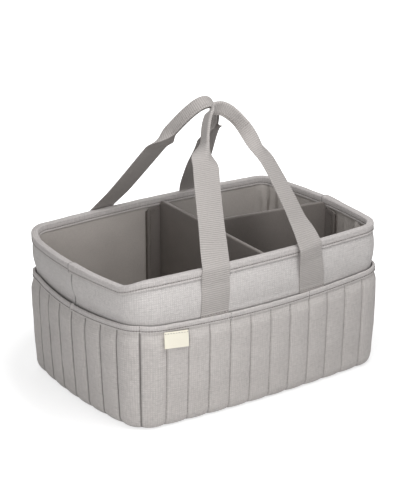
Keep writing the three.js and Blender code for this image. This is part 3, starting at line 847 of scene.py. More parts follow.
@dataclass
class OuterPanels:
    """The canvas skin of the wall, cut in two halves, and the foam boards behind it."""

    wall: Wall
    spacing: float = 4 * MM
    band_rows: int = 22
    wall_rows: int = 8
    mouth_rows: int = 8
    mouth_reach: float = 12 * MM
    tuck_rows: int = 6
    # Painted shade: strength and width of the darkening in the end seams, under the rim binding and behind the
    # pockets' mouths.
    seam_groove_shade: float = 0.8
    seam_line: float = 1.0 * MM
    rim_edge_shade: float = 0.4
    rim_line: float = 1.2 * MM
    mouth_gap_shade: float = 0.7
    pocket_fade: Span = (-1 * MM, 2 * MM)

    def levels(self, s: Array, foot: float) -> Array:
        """Heights of the upright rows at each station.

        Args:
            s: Column of outline distances.
            foot: Height of the lowest row.

        Returns:
            Grid of heights, up to under the rim binding.
        """
        wall = self.wall
        tape_foot = wall.tape_foot(s)
        top = wall.rim(s) - wall.rim_round - SEWN_GAP
        mouth = wall.band_foot - self.mouth_reach
        low = np.concatenate([np.linspace(foot, mouth, self.wall_rows)[:-1],
                              np.linspace(mouth, wall.band_foot, self.mouth_rows)[:-1]])[None, :] + 0 * s
        band = wall.band_foot + (tape_foot - wall.band_foot) * np.linspace(0, 1, self.band_rows)[None, :]
        return np.concatenate([low, band, top], axis=1)

    def painted_shade(self, s: Array, z: Array, mouth: Array) -> Array:
        """Painted shade on the band: in its end seams, under the rim binding's lower edge and in the gap behind the
        pockets' mouths.

        Args:
            s: Distance along the outline.
            z: Height.
            mouth: Height of the pockets' mouths at each station.

        Returns:
            Shares from 0 to 1.
        """
        wall = self.wall
        sewn = self.seam_groove_shade * line_at(wall.from_seam(s), self.seam_line)
        under = self.rim_edge_shade * line_at(wall.tape_foot(s) - z, self.rim_line)
        behind = self.mouth_gap_shade * (1 - smoothstep(z - mouth, *self.pocket_fade))
        return np.maximum(np.maximum(sewn, under), behind)

    def build(self, half: Half, pockets: "PocketStrip", finishes: Finishes) -> None:
        """Make one half of the skin.

        Args:
            half: Which half.
            pockets: The strip of pockets that covers its lower part.
            finishes: The caddy's materials.
        """
        wall = self.wall
        s = seam_stations(*wall.span(half), self.spacing)[:, None]
        z = self.levels(s, wall.tuck_height)
        face = wall.band_face(s, z)
        turns = np.linspace(np.pi / 2, 0, self.tuck_rows)[None, :-1] + 0 * s
        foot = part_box(f"{half.value}_outer_panel")[0].z
        outer_low = -wall.tuck * (1 - np.cos(turns))
        outer_z = wall.tuck_height - (wall.tuck_height - foot) * np.sin(turns)
        inner_low = -wall.outer_cloth - (wall.tuck - wall.outer_cloth) * (1 - np.cos(turns))
        inner_z = wall.tuck_height - (wall.tuck_height - foot - wall.outer_cloth) * np.sin(turns)
        front = wall.outline.place(s, np.hstack([outer_low, face]), np.hstack([outer_z, z]))
        inner = np.hstack([inner_low, face - wall.outer_cloth])
        back = wall.outline.place(s, inner, np.hstack([inner_z, z]))
        uv = surface_uv(front, s[:, 0])
        # Painted shade on the band; the tucked rows get none.
        shade = np.hstack([0 * turns, self.painted_shade(s, z, pockets.top(s))])
        piece = plate_mesh(f"band_skin_{half.value}", front, back, uv, shade=shade)
        dress(piece, finishes.band, "tub", [f"{half.value}_outer_panel"])

    def build_foam(self, name: str, start: float, size: float, finishes: Finishes) -> None:
        """Make the foam board of one side.

        Args:
            name: Side of the tub.
            start: Outline distance at which the side starts.
            size: Length of the side.
            finishes: The caddy's materials.
        """
        wall = self.wall
        s = fine_stations(start + SEWN_GAP / 2, start + size - SEWN_GAP / 2, 2 * self.spacing)[:, None]
        z = self.levels(s, wall.tuck_height)
        behind = wall.outer_cloth + SEWN_GAP
        front = wall.outline.place(s, wall.band_face(s, z) - behind, z)
        back = wall.outline.place(s, wall.lean(s, z) - behind - wall.foam, z)
        piece = plate_mesh(f"padding_{name}", front, back, surface_uv(front, s[:, 0]))
        dress(piece, finishes.foam, "tub", [f"{name}_foam_board"])


@dataclass
class Lining:
    """The smooth lining of the walls, with the loose folds that the sewn corners pull in it."""

    wall: Wall
    spacing: float = 3.5 * MM
    rows: int = 44
    slack: float = 0.8 * MM
    fold_depth: float = 4.5 * MM
    fold_width: float = 15 * MM
    pleat_depth: float = 7 * MM
    pleat_width: float = 4 * MM
    clear_ease: Span = (2 * MM, 26 * MM)
    arm_side: float = 6 * MM
    facing: float = 0.7
    fold_foot: float = 20 * MM
    right_ease: Span = (0.25, 0.8)
    drift: float = 12 * MM
    pleat_wander: float = 6 * MM
    rear_pleats: tuple[int, ...] = (-34, -17, 2)
    front_pleats: tuple[int, ...] = (6, 21, 40)

    def __post_init__(self) -> None:
        """Draw the noise of the folds."""
        self._noise = SmoothNoise(23)

    def clear(self, s: Array) -> Array:
        """Share of the slack that is left beside the divider and its flaps.

        Args:
            s: Distance along the outline.

        Returns:
            0 where a flap or a divider meets the lining and 1 well away from them.
        """
        plan, normal = self.wall.outline.at(s)
        share = np.ones(plan.shape[:-1])
        cross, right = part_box("cross_divider_cover"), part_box("right_flap")
        zones = [(1, 1, right[0].y, max(right[1].y, self.arm_side))]
        for flap, sign in (("front_flap", -1), ("rear_flap", 1)):
            low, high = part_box(flap)
            zones.append((0, sign, min(low.x, cross[0].x), max(high.x, cross[1].x)))
        for axis, sign, start, end in zones:
            away = np.maximum(np.maximum(start - plan[..., axis], plan[..., axis] - end), 0.0)
            facing = sign * normal[..., 1 - axis] > self.facing
            share = np.where(facing, share * smoothstep(away, *self.clear_ease), share)
        return share

    def folds(self, s: Array, z: Array) -> Array:
        """How far the lining stands off the wall.

        Args:
            s: Distance along the outline.
            z: Height.

        Returns:
            Distance inwards.
        """
        wall = self.wall
        share = np.clip((z - self.fold_foot) / (wall.tape_foot(s) - self.fold_foot), 0.0, 1.0)
        held = np.sqrt(np.clip(np.sin(np.pi * share), 0, 1))
        ripple = 0.5 + 0.5 * self._noise(s / 0.03 + 3, z / 0.07)
        right = smoothstep(wall.outline.at(s)[1][..., 0], *self.right_ease)
        drift = self.drift * self._noise(s / 0.08 + 5, z / 0.05)
        crease = 1 - np.abs(self._noise((s + drift) / self.fold_width, z / 0.11 + 9))
        pulled = right * self.fold_depth * np.clip(crease, 0, 1) ** 3
        return held * (self.clear(s) * (self.slack * ripple + pulled) + self.pleats(s, z))

    def pleats(self, s: Array, z: Array) -> Array:
        """Depth of the upright pleats near the right end's two corners.

        Args:
            s: Distance along the outline.
            z: Height.

        Returns:
            Distance inwards.
        """
        outline = self.wall.outline
        depth = 0.0 * (s + z)
        for corner, ways in ((outline.total / 2, self.rear_pleats), (outline.long_side, self.front_pleats)):
            for way in ways:
                lean = self.pleat_wander * self._noise(0.37 * way + 0.5, z / 0.06)
                depth = np.maximum(depth, line_at(s - corner - way * MM + lean, self.pleat_width))
        return self.pleat_depth * depth

    def build(self, half: Half, finishes: Finishes) -> None:
        """Make one half of the lining.

        Args:
            half: Which half.
            finishes: The caddy's materials.
        """
        wall = self.wall
        node = f"{half.value}_lining"
        s = fine_stations(*wall.span(half), self.spacing)[:, None]
        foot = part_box(node)[0].z
        top = wall.rim(s) - wall.rim_round - SEWN_GAP
        z = foot + (top - foot) * np.linspace(0, 1, self.rows)[None, :]
        inner = wall.lean(s, z) - wall.stack - self.folds(s, z)
        front = wall.outline.place(s, inner, z)
        back = wall.outline.place(s, inner + wall.lining_cloth, z)
        uv = surface_uv(front, s[:, 0])
        piece = plate_mesh(f"lining_{half.value}", front, back, uv)
        dress(piece, finishes.lining, "tub", [node])


@dataclass
class RimBinding:
    """Canvas tape folded over the rim, with a lap at each end seam."""

    wall: Wall
    spacing: float = 2.5 * MM
    leg_rows: int = 10
    arc_rows: int = 13
    hem: float = 0.3 * MM
    pucker: float = 0.25 * MM
    groove: float = 0.25 * MM
    groove_reach: float = 0.9 * MM
    lap: float = 1.5 * MM
    lap_ease: float = 45 * MM
    stitch_drop: float = 7.2 * MM
    squareness: float = 0.36
    inner_share: float = 0.12
    # Strength and width of the painted shade along the stitched groove.
    stitch_groove_shade: float = 0.4
    stitch_line: float = 0.6 * MM
    stitch_sink: float = 0.2 * MM

    def __post_init__(self) -> None:
        """Draw the noise of the puckers."""
        self._noise = SmoothNoise(31)

    def lift(self, s: Array, half: Half) -> Array:
        """How far the front tape stands up where it laps over the rear tape.

        Args:
            s: Distance along the outline.
            half: Which half of the tape.

        Returns:
            Distance off the tape's seat.
        """
        if half is Half.REAR:
            return 0.0 * s
        start, end = self.wall.span(half)
        inside = np.minimum(s - start, end - s)
        lapped = (1 - smoothstep(inside, 0.0, self.lap_ease)) * (inside > -self.lap - SEWN_GAP)
        return (self.wall.rim_tape + SEWN_GAP) * lapped

    def sewn(self, s: Array, z: Array, reach: float) -> Array:
        """Strength of the line that the stitching draws in the tape."""
        return line_at(z - self.wall.rim(s) + self.stitch_drop, reach)

    def profile(self, s: Array, raise_by: Array) -> tuple[Array, ...]:
        """Offsets and heights of the tape's two faces at each station.

        Args:
            s: Column of outline distances.
            raise_by: How far the tape stands up from its seat at each station.

        Returns:
            Outer offset, outer height, inner offset, inner height and the painted shade.
        """
        wall = self.wall
        centre = wall.rim(s) - wall.rim_round
        side, rise, seat = folded_section(s, wall.tape_foot(s), centre, self.leg_rows, self.arc_rows, self.squareness)
        row = np.arange(side.shape[1])[None, :]
        hem = self.hem * (line_at(row, HEM_ROWS) + line_at(row[:, ::-1], HEM_ROWS))
        soft = self.pucker * (0.6 * self._noise(s / 0.0075, row / 5.0) + 0.6 * self._noise(s / 0.03, row / 7.0 + 4))
        sewn = self.sewn(s, seat, self.groove_reach)
        loose = self.inner_share + (1 - self.inner_share) * np.clip(1.5 * (side + 1), 0.0, 1.0)
        outer = wall.rim_round + loose * (raise_by + hem + soft + self.pucker / 2) - self.groove * sewn
        inner = wall.rim_round - wall.rim_tape + loose * raise_by
        z_outer, z_inner = seat + outer * rise, seat + inner * rise
        middle = -wall.stack / 2 + wall.lean(s, seat)
        # Painted shade along the stitched groove on the tape's legs.
        shade = self.stitch_groove_shade * self.sewn(s, seat, self.stitch_line) * (rise < 0.1)
        return middle + outer * side, z_outer, middle + inner * side, z_inner, shade

    def build(self, half: Half, finishes: Finishes) -> None:
        """Make one half of the binding.

        Args:
            half: Which half.
            finishes: The caddy's materials.
        """
        start, end = self.wall.span(half)
        extra = self.lap if half is Half.FRONT else 0.0
        s = seam_stations(start - extra, end + extra, self.spacing)[:, None]
        outer, z_outer, inner, z_inner, shade = self.profile(s, self.lift(s, half))
        if half is Half.FRONT:
            # Painted shade along the lapped ends of the front tape.
            shade = np.maximum(shade, lap_shade(s))
        front = self.wall.outline.place(s, outer, z_outer)
        back = self.wall.outline.place(s, inner, z_inner)
        uv = surface_uv(front, s[:, 0])
        piece = plate_mesh(f"rim_tape_{half.value}", front, back, uv, shade=shade)
        dress(piece, finishes.binding, "tub", [f"rim_binding_{half.value}"])

    def stitches(self) -> Lines:
        """Lay the stitching near the tape's lower edges.

        Returns:
            One line outside and one inside.
        """
        wall = self.wall
        s = fine_stations(0.0, wall.outline.total, self.spacing)
        z = wall.rim(s) - self.stitch_drop
        loose = np.maximum(self.lift(s, Half.FRONT), self.lift(s - wall.outline.total, Half.FRONT)) + self.pucker
        middle = -wall.stack / 2 + wall.lean(s, z)
        return [wall.outline.place(s, middle + side * (wall.rim_round - self.stitch_sink + share * loose), z)
                for side, share in ((1.0, 1.0), (-1.0, self.inner_share))]


@dataclass
class PocketStrip:
    """The quilted strip of outer pockets and the tape over its mouths."""

    wall: Wall
    long_channels: int = 12
    end_channels: int = 8
    dip: float = 6 * MM
    skin: float = 1.6 * MM
    crown: float = 3.6 * MM
    crown_fade: float = 14 * MM
    crown_power: float = 0.42
    mouth_depth: float = 35 * MM
    end_slack: float = 2.5 * MM
    webbing: float = 1.5 * MM
    tuck_reach: float = 9 * MM
    foot_lap: float = 2 * MM
    foot_thickness: float = 3 * MM
    floor_gap: float = 0.4 * MM
    seam_lift: float = 0.8 * MM
    foot_fullness: float = 0.55
    tape_depth: float = 8 * MM
    columns: int = 12
    rows: int = 46
    tuck_rows: int = 9
    pucker: float = 0.55 * MM
    pucker_reach: float = 6 * MM
    lap: float = 1.5 * MM
    stitch_rise: float = 2.2 * MM
    groove: float = 0.3 * MM
    tape_rows: int = 12
    tape_arc_rows: int = 7
    tape_spacing: float = 2.5 * MM
    tape_pucker: float = 0.22 * MM
    tape_hem: float = 0.15 * MM
    # Painted shade along the tape's stitched groove and in the channel seams, stronger on the end sides and at the
    # corners.
    tape_stitch_shade: float = 0.35
    seam_line: float = 0.7 * MM
    seam_width: float = 1 * MM
    seam_groove_shade: float = 0.25
    end_groove_shade: float = 0.85
    foot_ease: Span = (14 * MM, 55 * MM)
    unevenness: float = 0.16
    side_reach: float = 0.29
    side_draw: float = 5.3
    tape_stand: float = 0.2 * MM
    seam_stand: float = 0.1 * MM
    seam_end: float = 0.5 * MM
    division_end: float = 0.4 * MM
    line_spacing: float = 4 * MM
    division_step: int = 4

    def __post_init__(self) -> None:
        """Work out the channel pitches and draw the noise of the quilting."""
        outline = self.wall.outline
        self.long_pitch = outline.long_side / self.long_channels
        self.end_pitch = outline.end_side / self.end_channels
        self.long_mouth = self.webbing + self.wall.pocket_tape + 3 * SEWN_GAP
        self.end_mouth = self.wall.pocket_tape + 2 * SEWN_GAP
        self._noise = SmoothNoise(47)

    def side_place(self, s: Array) -> tuple[Array, Array, Array]:
        """Where a station falls on its side of the tub.

        Args:
            s: Distance along the outline.

        Returns:
            The share of the side, the count of channels from the side's start, and whether the side is an end.
        """
        outline = self.wall.outline
        along = np.mod(s, outline.total / 2)
        is_end = along > outline.long_side
        share = np.where(is_end, (along - outline.long_side) / outline.end_side, along / outline.long_side)
        channels = np.where(is_end, self.end_channels, self.long_channels)
        return share, share * channels, is_end

    def within(self, s: Array) -> Array:
        """Place across a channel, from 0 at one seam to 1 at the next."""
        return np.mod(self.side_place(s)[1] + TINY, 1.0)

    def from_seam(self, s: Array) -> Array:
        """Distance to the nearest channel seam."""
        within = self.within(s)
        return np.minimum(within, 1 - within) * self.long_pitch

    def pillow(self, s: Array) -> Array:
        """Fullness across a channel: 0 at its seams and 1 in its middle."""
        within = self.within(s)
        return (4 * within * (1 - within)) ** self.crown_power

    def top(self, s: Array) -> Array:
        """Height of the pockets' mouths, which sag between the corners."""
        return self.wall.pocket_height - self.dip * np.sin(np.pi * self.side_place(s)[0])

    def tape_foot(self, s: Array) -> Array:
        """Height of the mouth tape's lower edge."""
        return self.top(s) + SEWN_GAP + self.wall.pocket_tape - self.tape_depth

    def gap(self, s: Array, z: Array) -> Array:
        """Gap between the wall and the back of a pocket.

        Args:
            s: Distance along the outline.
            z: Height.

        Returns:
            Distance outwards from the outline.
        """
        share, _, is_end = self.side_place(s)
        facing = self.wall.outline.at(s)[1][..., 1] ** 2
        at_left = self.wall.outline.at(s)[1][..., 0] < 0
        slack = np.where(is_end & at_left, self.end_slack * np.sin(np.pi * share) ** 0.7, 0.0)
        mouth = self.end_mouth + (self.long_mouth - self.end_mouth) * facing + slack
        foot = self.wall.tuck_height
        opened = np.clip((z - foot) / (self.top(s) - self.mouth_depth - foot), 0.0, 1.0)
        return SEWN_GAP + (mouth - SEWN_GAP) * opened

    def face(self, s: Array, z: Array) -> Array:
        """Outward offset of the quilted face.

        Args:
            s: Distance along the outline.
            z: Height.

        Returns:
            Offset from the outline, with the channels' fullness and the puckers along their seams.
        """
        fade_end = self.tape_foot(s) - SEWN_GAP
        full = self.foot_fullness + (1 - self.foot_fullness) * smoothstep(z, *self.foot_ease)
        held = (1 - smoothstep(z, fade_end - self.crown_fade, fade_end)) * full
        channel = np.floor(self.side_place(s)[1] + TINY) + np.floor(s / self.side_reach) * self.side_draw
        fullness = 1 + self.unevenness * self._noise(channel * 3.7 + 0.5, z / 0.05)
        from_seam = self.from_seam(s)
        near = np.exp(-from_seam / self.pucker_reach) * (1 - line_at(from_seam, self.seam_width))
        ripple = (self._noise(channel * 5.1 + 2.0 * self.within(s), z / 0.0085)
                  + 0.5 * self._noise(channel * 2.3, z / 0.021))
        crowned = self.crown * self.pillow(s) * fullness + self.pucker * near * ripple
        return self.gap(s, z) + self.skin + held * crowned

    def channels(self, start: float, end: float) -> list[tuple[float, float, bool]]:
        """List the channels in order.

        Args:
            start: Outline distance at which a long side starts.
            end: Outline distance to reach.

        Returns:
            Seam at which each channel starts, its pitch, and whether that seam divides two pockets.
        """
        found = []
        while start < end - SEWN_GAP:
            for count, pitch in ((self.long_channels, self.long_pitch), (self.end_channels, self.end_pitch)):
                step = self.division_step if count == self.long_channels else count
                found += [(start + k * pitch, pitch, k % step == 0) for k in range(count)]
                start += count * pitch
        return found

    def stations(self, half: Half) -> Array:
        """Outline distances through one half, crowded towards the channel seams.

        Args:
            half: Which half.

        Returns:
            The distances, in order.
        """
        start, end = self.wall.span(half)
        channels = self.channels(-self.wall.outline.total / 2, end)
        marks = [seam + share * pitch for seam, pitch, _ in channels for share in crowded(self.columns + 1)[:-1]]
        inside = [m for m in marks if start + SEWN_GAP < m < end - SEWN_GAP]
        return np.array([start, *inside, end])

    def build_panel(self, half: Half, finishes: Finishes) -> None:
        """Make one half of the quilted strip.

        Args:
            half: Which half.
            finishes: The caddy's materials.
        """
        wall = self.wall
        s = self.stations(half)[:, None]
        top, foot = self.top(s), wall.tuck_height
        z = top + (foot - top) * np.linspace(0, 1, self.rows)[None, :]
        face, inner = self.face(s, z), self.gap(s, z)
        turns = np.linspace(0, np.pi / 2, self.tuck_rows)[None, 1:] + 0 * s
        sole = self.floor_gap + self.seam_lift * (1 - self.pillow(s))
        foot_top = self.floor_gap + self.foot_thickness
        bend, drop = 1 - np.cos(turns), np.sin(turns)
        face_low, z_low = face[:, -1:] - self.tuck_reach * bend, foot - (foot - sole) * drop
        inner_low, z_inner = SEWN_GAP - (wall.tuck + SEWN_GAP) * bend, foot - (foot - foot_top) * drop
        reach = self.tuck_reach - self.skin - SEWN_GAP + self.foot_lap
        lap = np.full_like(s, -reach)
        front = wall.outline.place(s, np.hstack([face, face_low, lap]), np.hstack([z, z_low, sole]))
        back = wall.outline.place(s, np.hstack([inner, inner_low, lap]),
                                  np.hstack([z, z_inner, foot_top + 0 * s]))
        # Painted shade along the channel seams.
        at_end = self.side_place(s + self.seam_width)[2] | self.side_place(s - self.seam_width)[2]
        dark = np.where(at_end, self.end_groove_shade, self.seam_groove_shade)
        shade = line_at(self.from_seam(s), self.seam_line) * dark
        piece = plate_mesh(f"quilted_pockets_{half.value}", front, back, surface_uv(front, s[:, 0]), shade=shade)
        dress(piece, finishes.quilt, "tub", [f"pocket_panel_{half.value}"])

    def build_tape(self, half: Half, finishes: Finishes) -> None:
        """Make one half of the tape over the pockets' mouths.

        Args:
            half: Which half.
            finishes: The caddy's materials.
        """
        wall = self.wall
        start, end = wall.span(half)
        extra = self.lap if half is Half.FRONT else 0.0
        s = seam_stations(start - extra, end + extra, self.tape_spacing)[:, None]
        inside = np.minimum(s - start, end - s)
        lift = (wall.pocket_tape + SEWN_GAP) * (1 - smoothstep(inside, 0.0, self.lap)) * (extra > 0)
        top, foot = self.top(s) + SEWN_GAP, self.tape_foot(s)
        back_gap = self.gap(s, self.top(s)) - SEWN_GAP
        half_thick = self.skin / 2 + SEWN_GAP
        middle = back_gap + half_thick
        side, rise, seat = folded_section(s, foot, top - half_thick, self.tape_rows, self.tape_arc_rows)
        row = np.arange(side.shape[1])[None, :]
        soft = self.tape_pucker * self._noise(s / 0.007, row / 4.0) + self.tape_hem * line_at(row, HEM_ROWS)
        sewn = line_at(seat - foot - self.stitch_rise, self.seam_line) * (side > 0.9)
        outer = half_thick + wall.pocket_tape + lift + np.where(side > -0.5, soft, 0.0) - self.groove * sewn
        # Painted shade along the stitched groove and at the lapped ends.
        shade = np.maximum(self.tape_stitch_shade * sewn, lap_shade(s) * (extra > 0))
        inner = half_thick + lift
        front = wall.outline.place(s, middle + outer * side, seat + outer * rise)
        back = wall.outline.place(s, middle + inner * side, seat + inner * rise)
        uv = surface_uv(front, s[:, 0])
        piece = plate_mesh(f"pocket_tape_{half.value}", front, back, uv, shade=shade)
        dress(piece, finishes.binding, "tub", [f"pocket_binding_{half.value}"])

    def stitches(self) -> Lines:
        """Lay the stitching of the pockets.

        Returns:
            Lines along the tape, the channel seams and the pocket divisions.
        """
        wall = self.wall
        s = fine_stations(0.0, wall.outline.total, 0.75 * self.line_spacing)
        z = self.tape_foot(s) + self.stitch_rise
        stand = self.skin + SEWN_GAP + wall.pocket_tape + self.tape_stand
        lines = [wall.outline.place(s, self.gap(s, self.top(s)) + stand, z)]
        for seam, _, divides in self.channels(0.0, wall.outline.total):
            low, high = wall.tuck_height, float(self.tape_foot(seam))
            up = fine_stations(low, high - self.seam_end, self.line_spacing)
            lines.append(wall.outline.place(seam, self.gap(seam, up) + self.skin + self.seam_stand, up))
            if divides:
                up = fine_stations(high, float(self.top(seam)) + self.division_end, self.line_spacing / 2)
                reach = self.gap(seam, self.top(seam)) + stand + self.seam_stand
                lines.append(wall.outline.place(np.full_like(up, seam), np.full_like(up, float(reach)), up))
        return lines


@dataclass
class Base:
    """The floor of the lining and the cloth under the base, with the board between them."""

    wall: Wall
    columns: int = 60
    rows: int = 30
    puff: float = 0.8 * MM
    edge_spacing: float = 1 * MM

    def layer(self, name: str, node: str, material: Material, slot: str, puff: float) -> None:
        """Make one flat layer that fills the outline.

        Args:
            name: Name of the piece.
            node: The solid that it stands for.
            material: Its finish.
            slot: Not used.
            puff: How far the top swells in the middle.
        """
        low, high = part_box(node)
        outline = self.wall.outline
        walk = fine_stations(0.0, outline.total, self.edge_spacing)
        edge, _ = outline.at(walk, high.x - outline.length / 2)
        near = edge[:, 1] < 0
        order = np.argsort(edge[near, 0])
        x = high.x * np.cos(np.pi * (1 - np.linspace(0, 1, self.columns)))
        reach = np.interp(x, edge[near, 0][order], -edge[near, 1][order])
        across = np.linspace(-1, 1, self.rows)
        grid_x = np.broadcast_to(x[:, None], (self.columns, self.rows))
        grid_y = reach[:, None] * across[None, :]
        swell = puff * (1 - (grid_x / high.x) ** 6) * (1 - across[None, :] ** 6)
        front = np.stack([grid_x, grid_y, high.z + swell], axis=-1)
        back = np.stack([grid_x, grid_y, np.full_like(grid_y, low.z)], axis=-1)
        piece = plate_mesh(name, front, back, front[..., :2])
        dress(piece, material, "tub", [node])

    def build(self, finishes: Finishes) -> None:
        """Make both layers and finish the board between them.

        Args:
            finishes: The caddy's materials.
        """
        self.layer("floor_lining", "lining_floor", finishes.lining, "lining_cloth", self.puff)
        self.layer("base_cloth", "base_cover", finishes.quilt, "quilted_cloth", 0.0)
        paint(frame["nodes"]["base_board"], finishes.board)


@dataclass(frozen=True)
class StrapPull:
    """How use has pulled one strap: along the outline at its foot and rim, over its leg, and round itself.

    The turns are pairs of a distance above the rim in millimetres and an angle in degrees. A strap turned
    by a positive angle has the edge nearer to the middle of the caddy outwards.
    """

    foot: float = 0.0
    rim: float = 0.0
    leg: float = 0.0
    fold_start: float = 114 * MM
    fold_end: float = 150 * MM
    turns: tuple[tuple[float, float], ...] = ((0, 0), (205, 0))


LEFT, RIGHT = -1, 1
PULLS = {
    (Half.FRONT, LEFT): StrapPull(leg=19 * MM, fold_start=120 * MM, fold_end=158 * MM,
                                  turns=((0, 0), (60, -8), (120, -8), (155, 0), (202, -4), (211, 35))),
    (Half.FRONT, RIGHT): StrapPull(foot=-8 * MM, rim=-19 * MM, fold_start=112 * MM, fold_end=176 * MM,
                                   turns=((-46, 0), (0, 10), (50, 24), (110, 27), (176, 27), (198, 44), (211, 35))),
    (Half.REAR, RIGHT): StrapPull(rim=10 * MM, leg=24 * MM, fold_start=118 * MM, fold_end=154 * MM,
                                  turns=((0, 0), (60, -4), (115, -14), (150, -8), (195, 0))),
    (Half.REAR, LEFT): StrapPull(rim=-7.5 * MM, leg=28 * MM, turns=((-20, 0), (0, 6), (50, 5), (115, 4), (160, 0))),
}


@dataclass
class Handle:
    """One strap: two tails sewn up the band and a handle that is folded lengthwise into a grip."""

    wall: Wall
    pockets: PocketStrip
    half: Half
    width: float = 38 * MM
    thickness: float = 1.5 * MM
    strap_channels: int = 2
    strap_margin: float = 0.5 * MM
    tail_tuck: float = 25 * MM
    tail_gap: float = 3.5 * MM
    tail_stitch: float = 2.5 * MM
    rise: float = 197 * MM
    grip_clearance: float = 4 * MM
    leg_rise: float = 60 * MM
    leg_square: float = 45 * MM
    front_apex: float = 3.5 * MM
    rear_apex: float = 8 * MM
    left_reach: float = 31 * MM
    right_reach: float = 41 * MM
    settle: float = 4.5 * MM
    fold_turn: float = math.radians(89)
    fold_bend: float = 3 * MM
    rib_pitch: float = 2.6 * MM
    rib_height: float = 0.12 * MM
    row_spacing: float = 0.65 * MM
    across_rows: int = 23
    bend_reach: float = 3 * MM
    bend_rows: int = 9
    blend_low: float = 4 * MM
    blend_high: float = 10 * MM
    tape_clear: float = 0.6 * MM
    tape_ramp: float = 32 * MM
    tape_land: float = 1 * MM
    free_reach: float = 40 * MM
    edge_round: float = 0.3 * MM
    stitch_stand: float = 0.12 * MM
    path_points: int = 500

    def __post_init__(self) -> None:
        """Read the swing of the handle from the frame and place the straps."""
        self.pivot = joint_place(f"{self.half.value}_handle")
        self.inward = 1.0 if self.half is Half.FRONT else -1.0
        outline = self.wall.outline
        self.middle = outline.long_side / 2 + (0.0 if self.half is Half.FRONT else outline.total / 2)
        self.strap_along = self.strap_channels * self.pockets.long_pitch + self.width / 2 + self.strap_margin
        self.across = self.width * np.linspace(-0.5, 0.5, self.across_rows)
        grip_depth = self.width / 4
        reach = (abs(self.pivot[1]) - self.grip_clearance) / math.hypot(self.rise, grip_depth)
        lean = math.asin(reach) - math.atan2(grip_depth, self.rise)
        self.up = np.array([0.0, self.inward * math.sin(lean), math.cos(lean)])
        self.inner_way = np.array([0.0, self.inward * math.cos(lean), -math.sin(lean)])

    def sewn_at(self, side: int) -> float:
        """Outline distance at which a strap was sewn, before use pulled it."""
        return self.middle + self.inward * side * self.strap_along

    def tail_rest(self, s: Array, z: Array) -> Array:
        """Offset of the surface that a tail lies on.

        Args:
            s: Distance along the outline.
            z: Height.

        Returns:
            Offset from the outline.
        """
        tape_foot = self.wall.tape_foot(s)
        over_tape = smoothstep(z, tape_foot - self.tape_ramp, tape_foot - self.tape_land)
        tape = (self.wall.rim_tape + SEWN_GAP + self.tape_clear) * over_tape
        return np.maximum(self.wall.band_face(s, z), tape) + SEWN_GAP

    def turn(self, side: int, above: Array) -> Array:
        """Angle by which a strap is turned, at distances along it above the rim."""
        return np.radians(eased(above / MM, PULLS[self.half, side].turns))

    def tail(self, side: int) -> tuple[Array, Array]:
        """Outer and inner face of one tail, from its foot up to the bend at the rim.

        Args:
            side: Which strap.

        Returns:
            The two grids, of shape (rows, places across, 3).
        """
        pull, sewn = PULLS[self.half, side], self.sewn_at(side)
        foot = float(self.pockets.top(sewn + pull.foot)) - self.tail_tuck
        z = fine_stations(foot, self.pivot[2] - self.bend_reach, self.row_spacing)[:, None]
        share = np.minimum((z - foot) / (self.pivot[2] - self.tail_gap - foot), 1.0)
        s = sewn + pull.foot + (pull.rim - pull.foot) * share - self.inward * side * self.across[None, :]
        stand = np.sin(self.turn(side, z - self.pivot[2])) * (self.width / 2 + self.across)
        rest = self.tail_rest(s, z) + stand
        outline = self.wall.outline
        return outline.place(s, rest + self.thickness, z), outline.place(s, rest, z)

    def leg_path(self) -> tuple[Array, Array, Array]:
        """Middle line of the handle in its own plane.

        Returns:
            Points, unit directions and distances from the nearer foot.
        """
        t = np.linspace(0, 1, self.path_points)[:, None]
        rest = 1 - t

        def leg(side: int, reach: float) -> Array:
            """Draw one leg.

            Args:
                side: Which strap.
                reach: How far the top runs level towards that side.

            Returns:
                Points from its foot to the top.
            """
            pull = PULLS[self.half, side]
            foot_x = float(self.wall.outline.at(self.sewn_at(side) + pull.rim)[0][0])
            foot, near = np.array([foot_x, 0.0]), np.array([foot_x - side * pull.leg, self.leg_rise])
            top, apex_x = self.rise - self.settle, self.front_apex if self.half is Half.FRONT else self.rear_apex
            far, apex = np.array([apex_x + side * reach, top]), np.array([apex_x, top])
            return rest ** 3 * foot + 3 * rest ** 2 * t * near + 3 * rest * t ** 2 * far + t ** 3 * apex

        path = np.concatenate([leg(LEFT, self.left_reach), leg(RIGHT, self.right_reach)[-2::-1]])
        steps = np.linalg.norm(np.diff(path, axis=0), axis=1)
        walked = np.concatenate([[0.0], np.cumsum(steps)])
        rows = fine_stations(self.bend_reach, walked[-1] - self.bend_reach, self.row_spacing)
        points = np.stack([np.interp(rows, walked, path[:, k]) for k in range(2)], axis=-1)
        ways = np.gradient(points, axis=0)
        ways /= np.linalg.norm(ways, axis=1, keepdims=True)
        return points, ways, np.minimum(rows, walked[-1] - rows)[:, None]

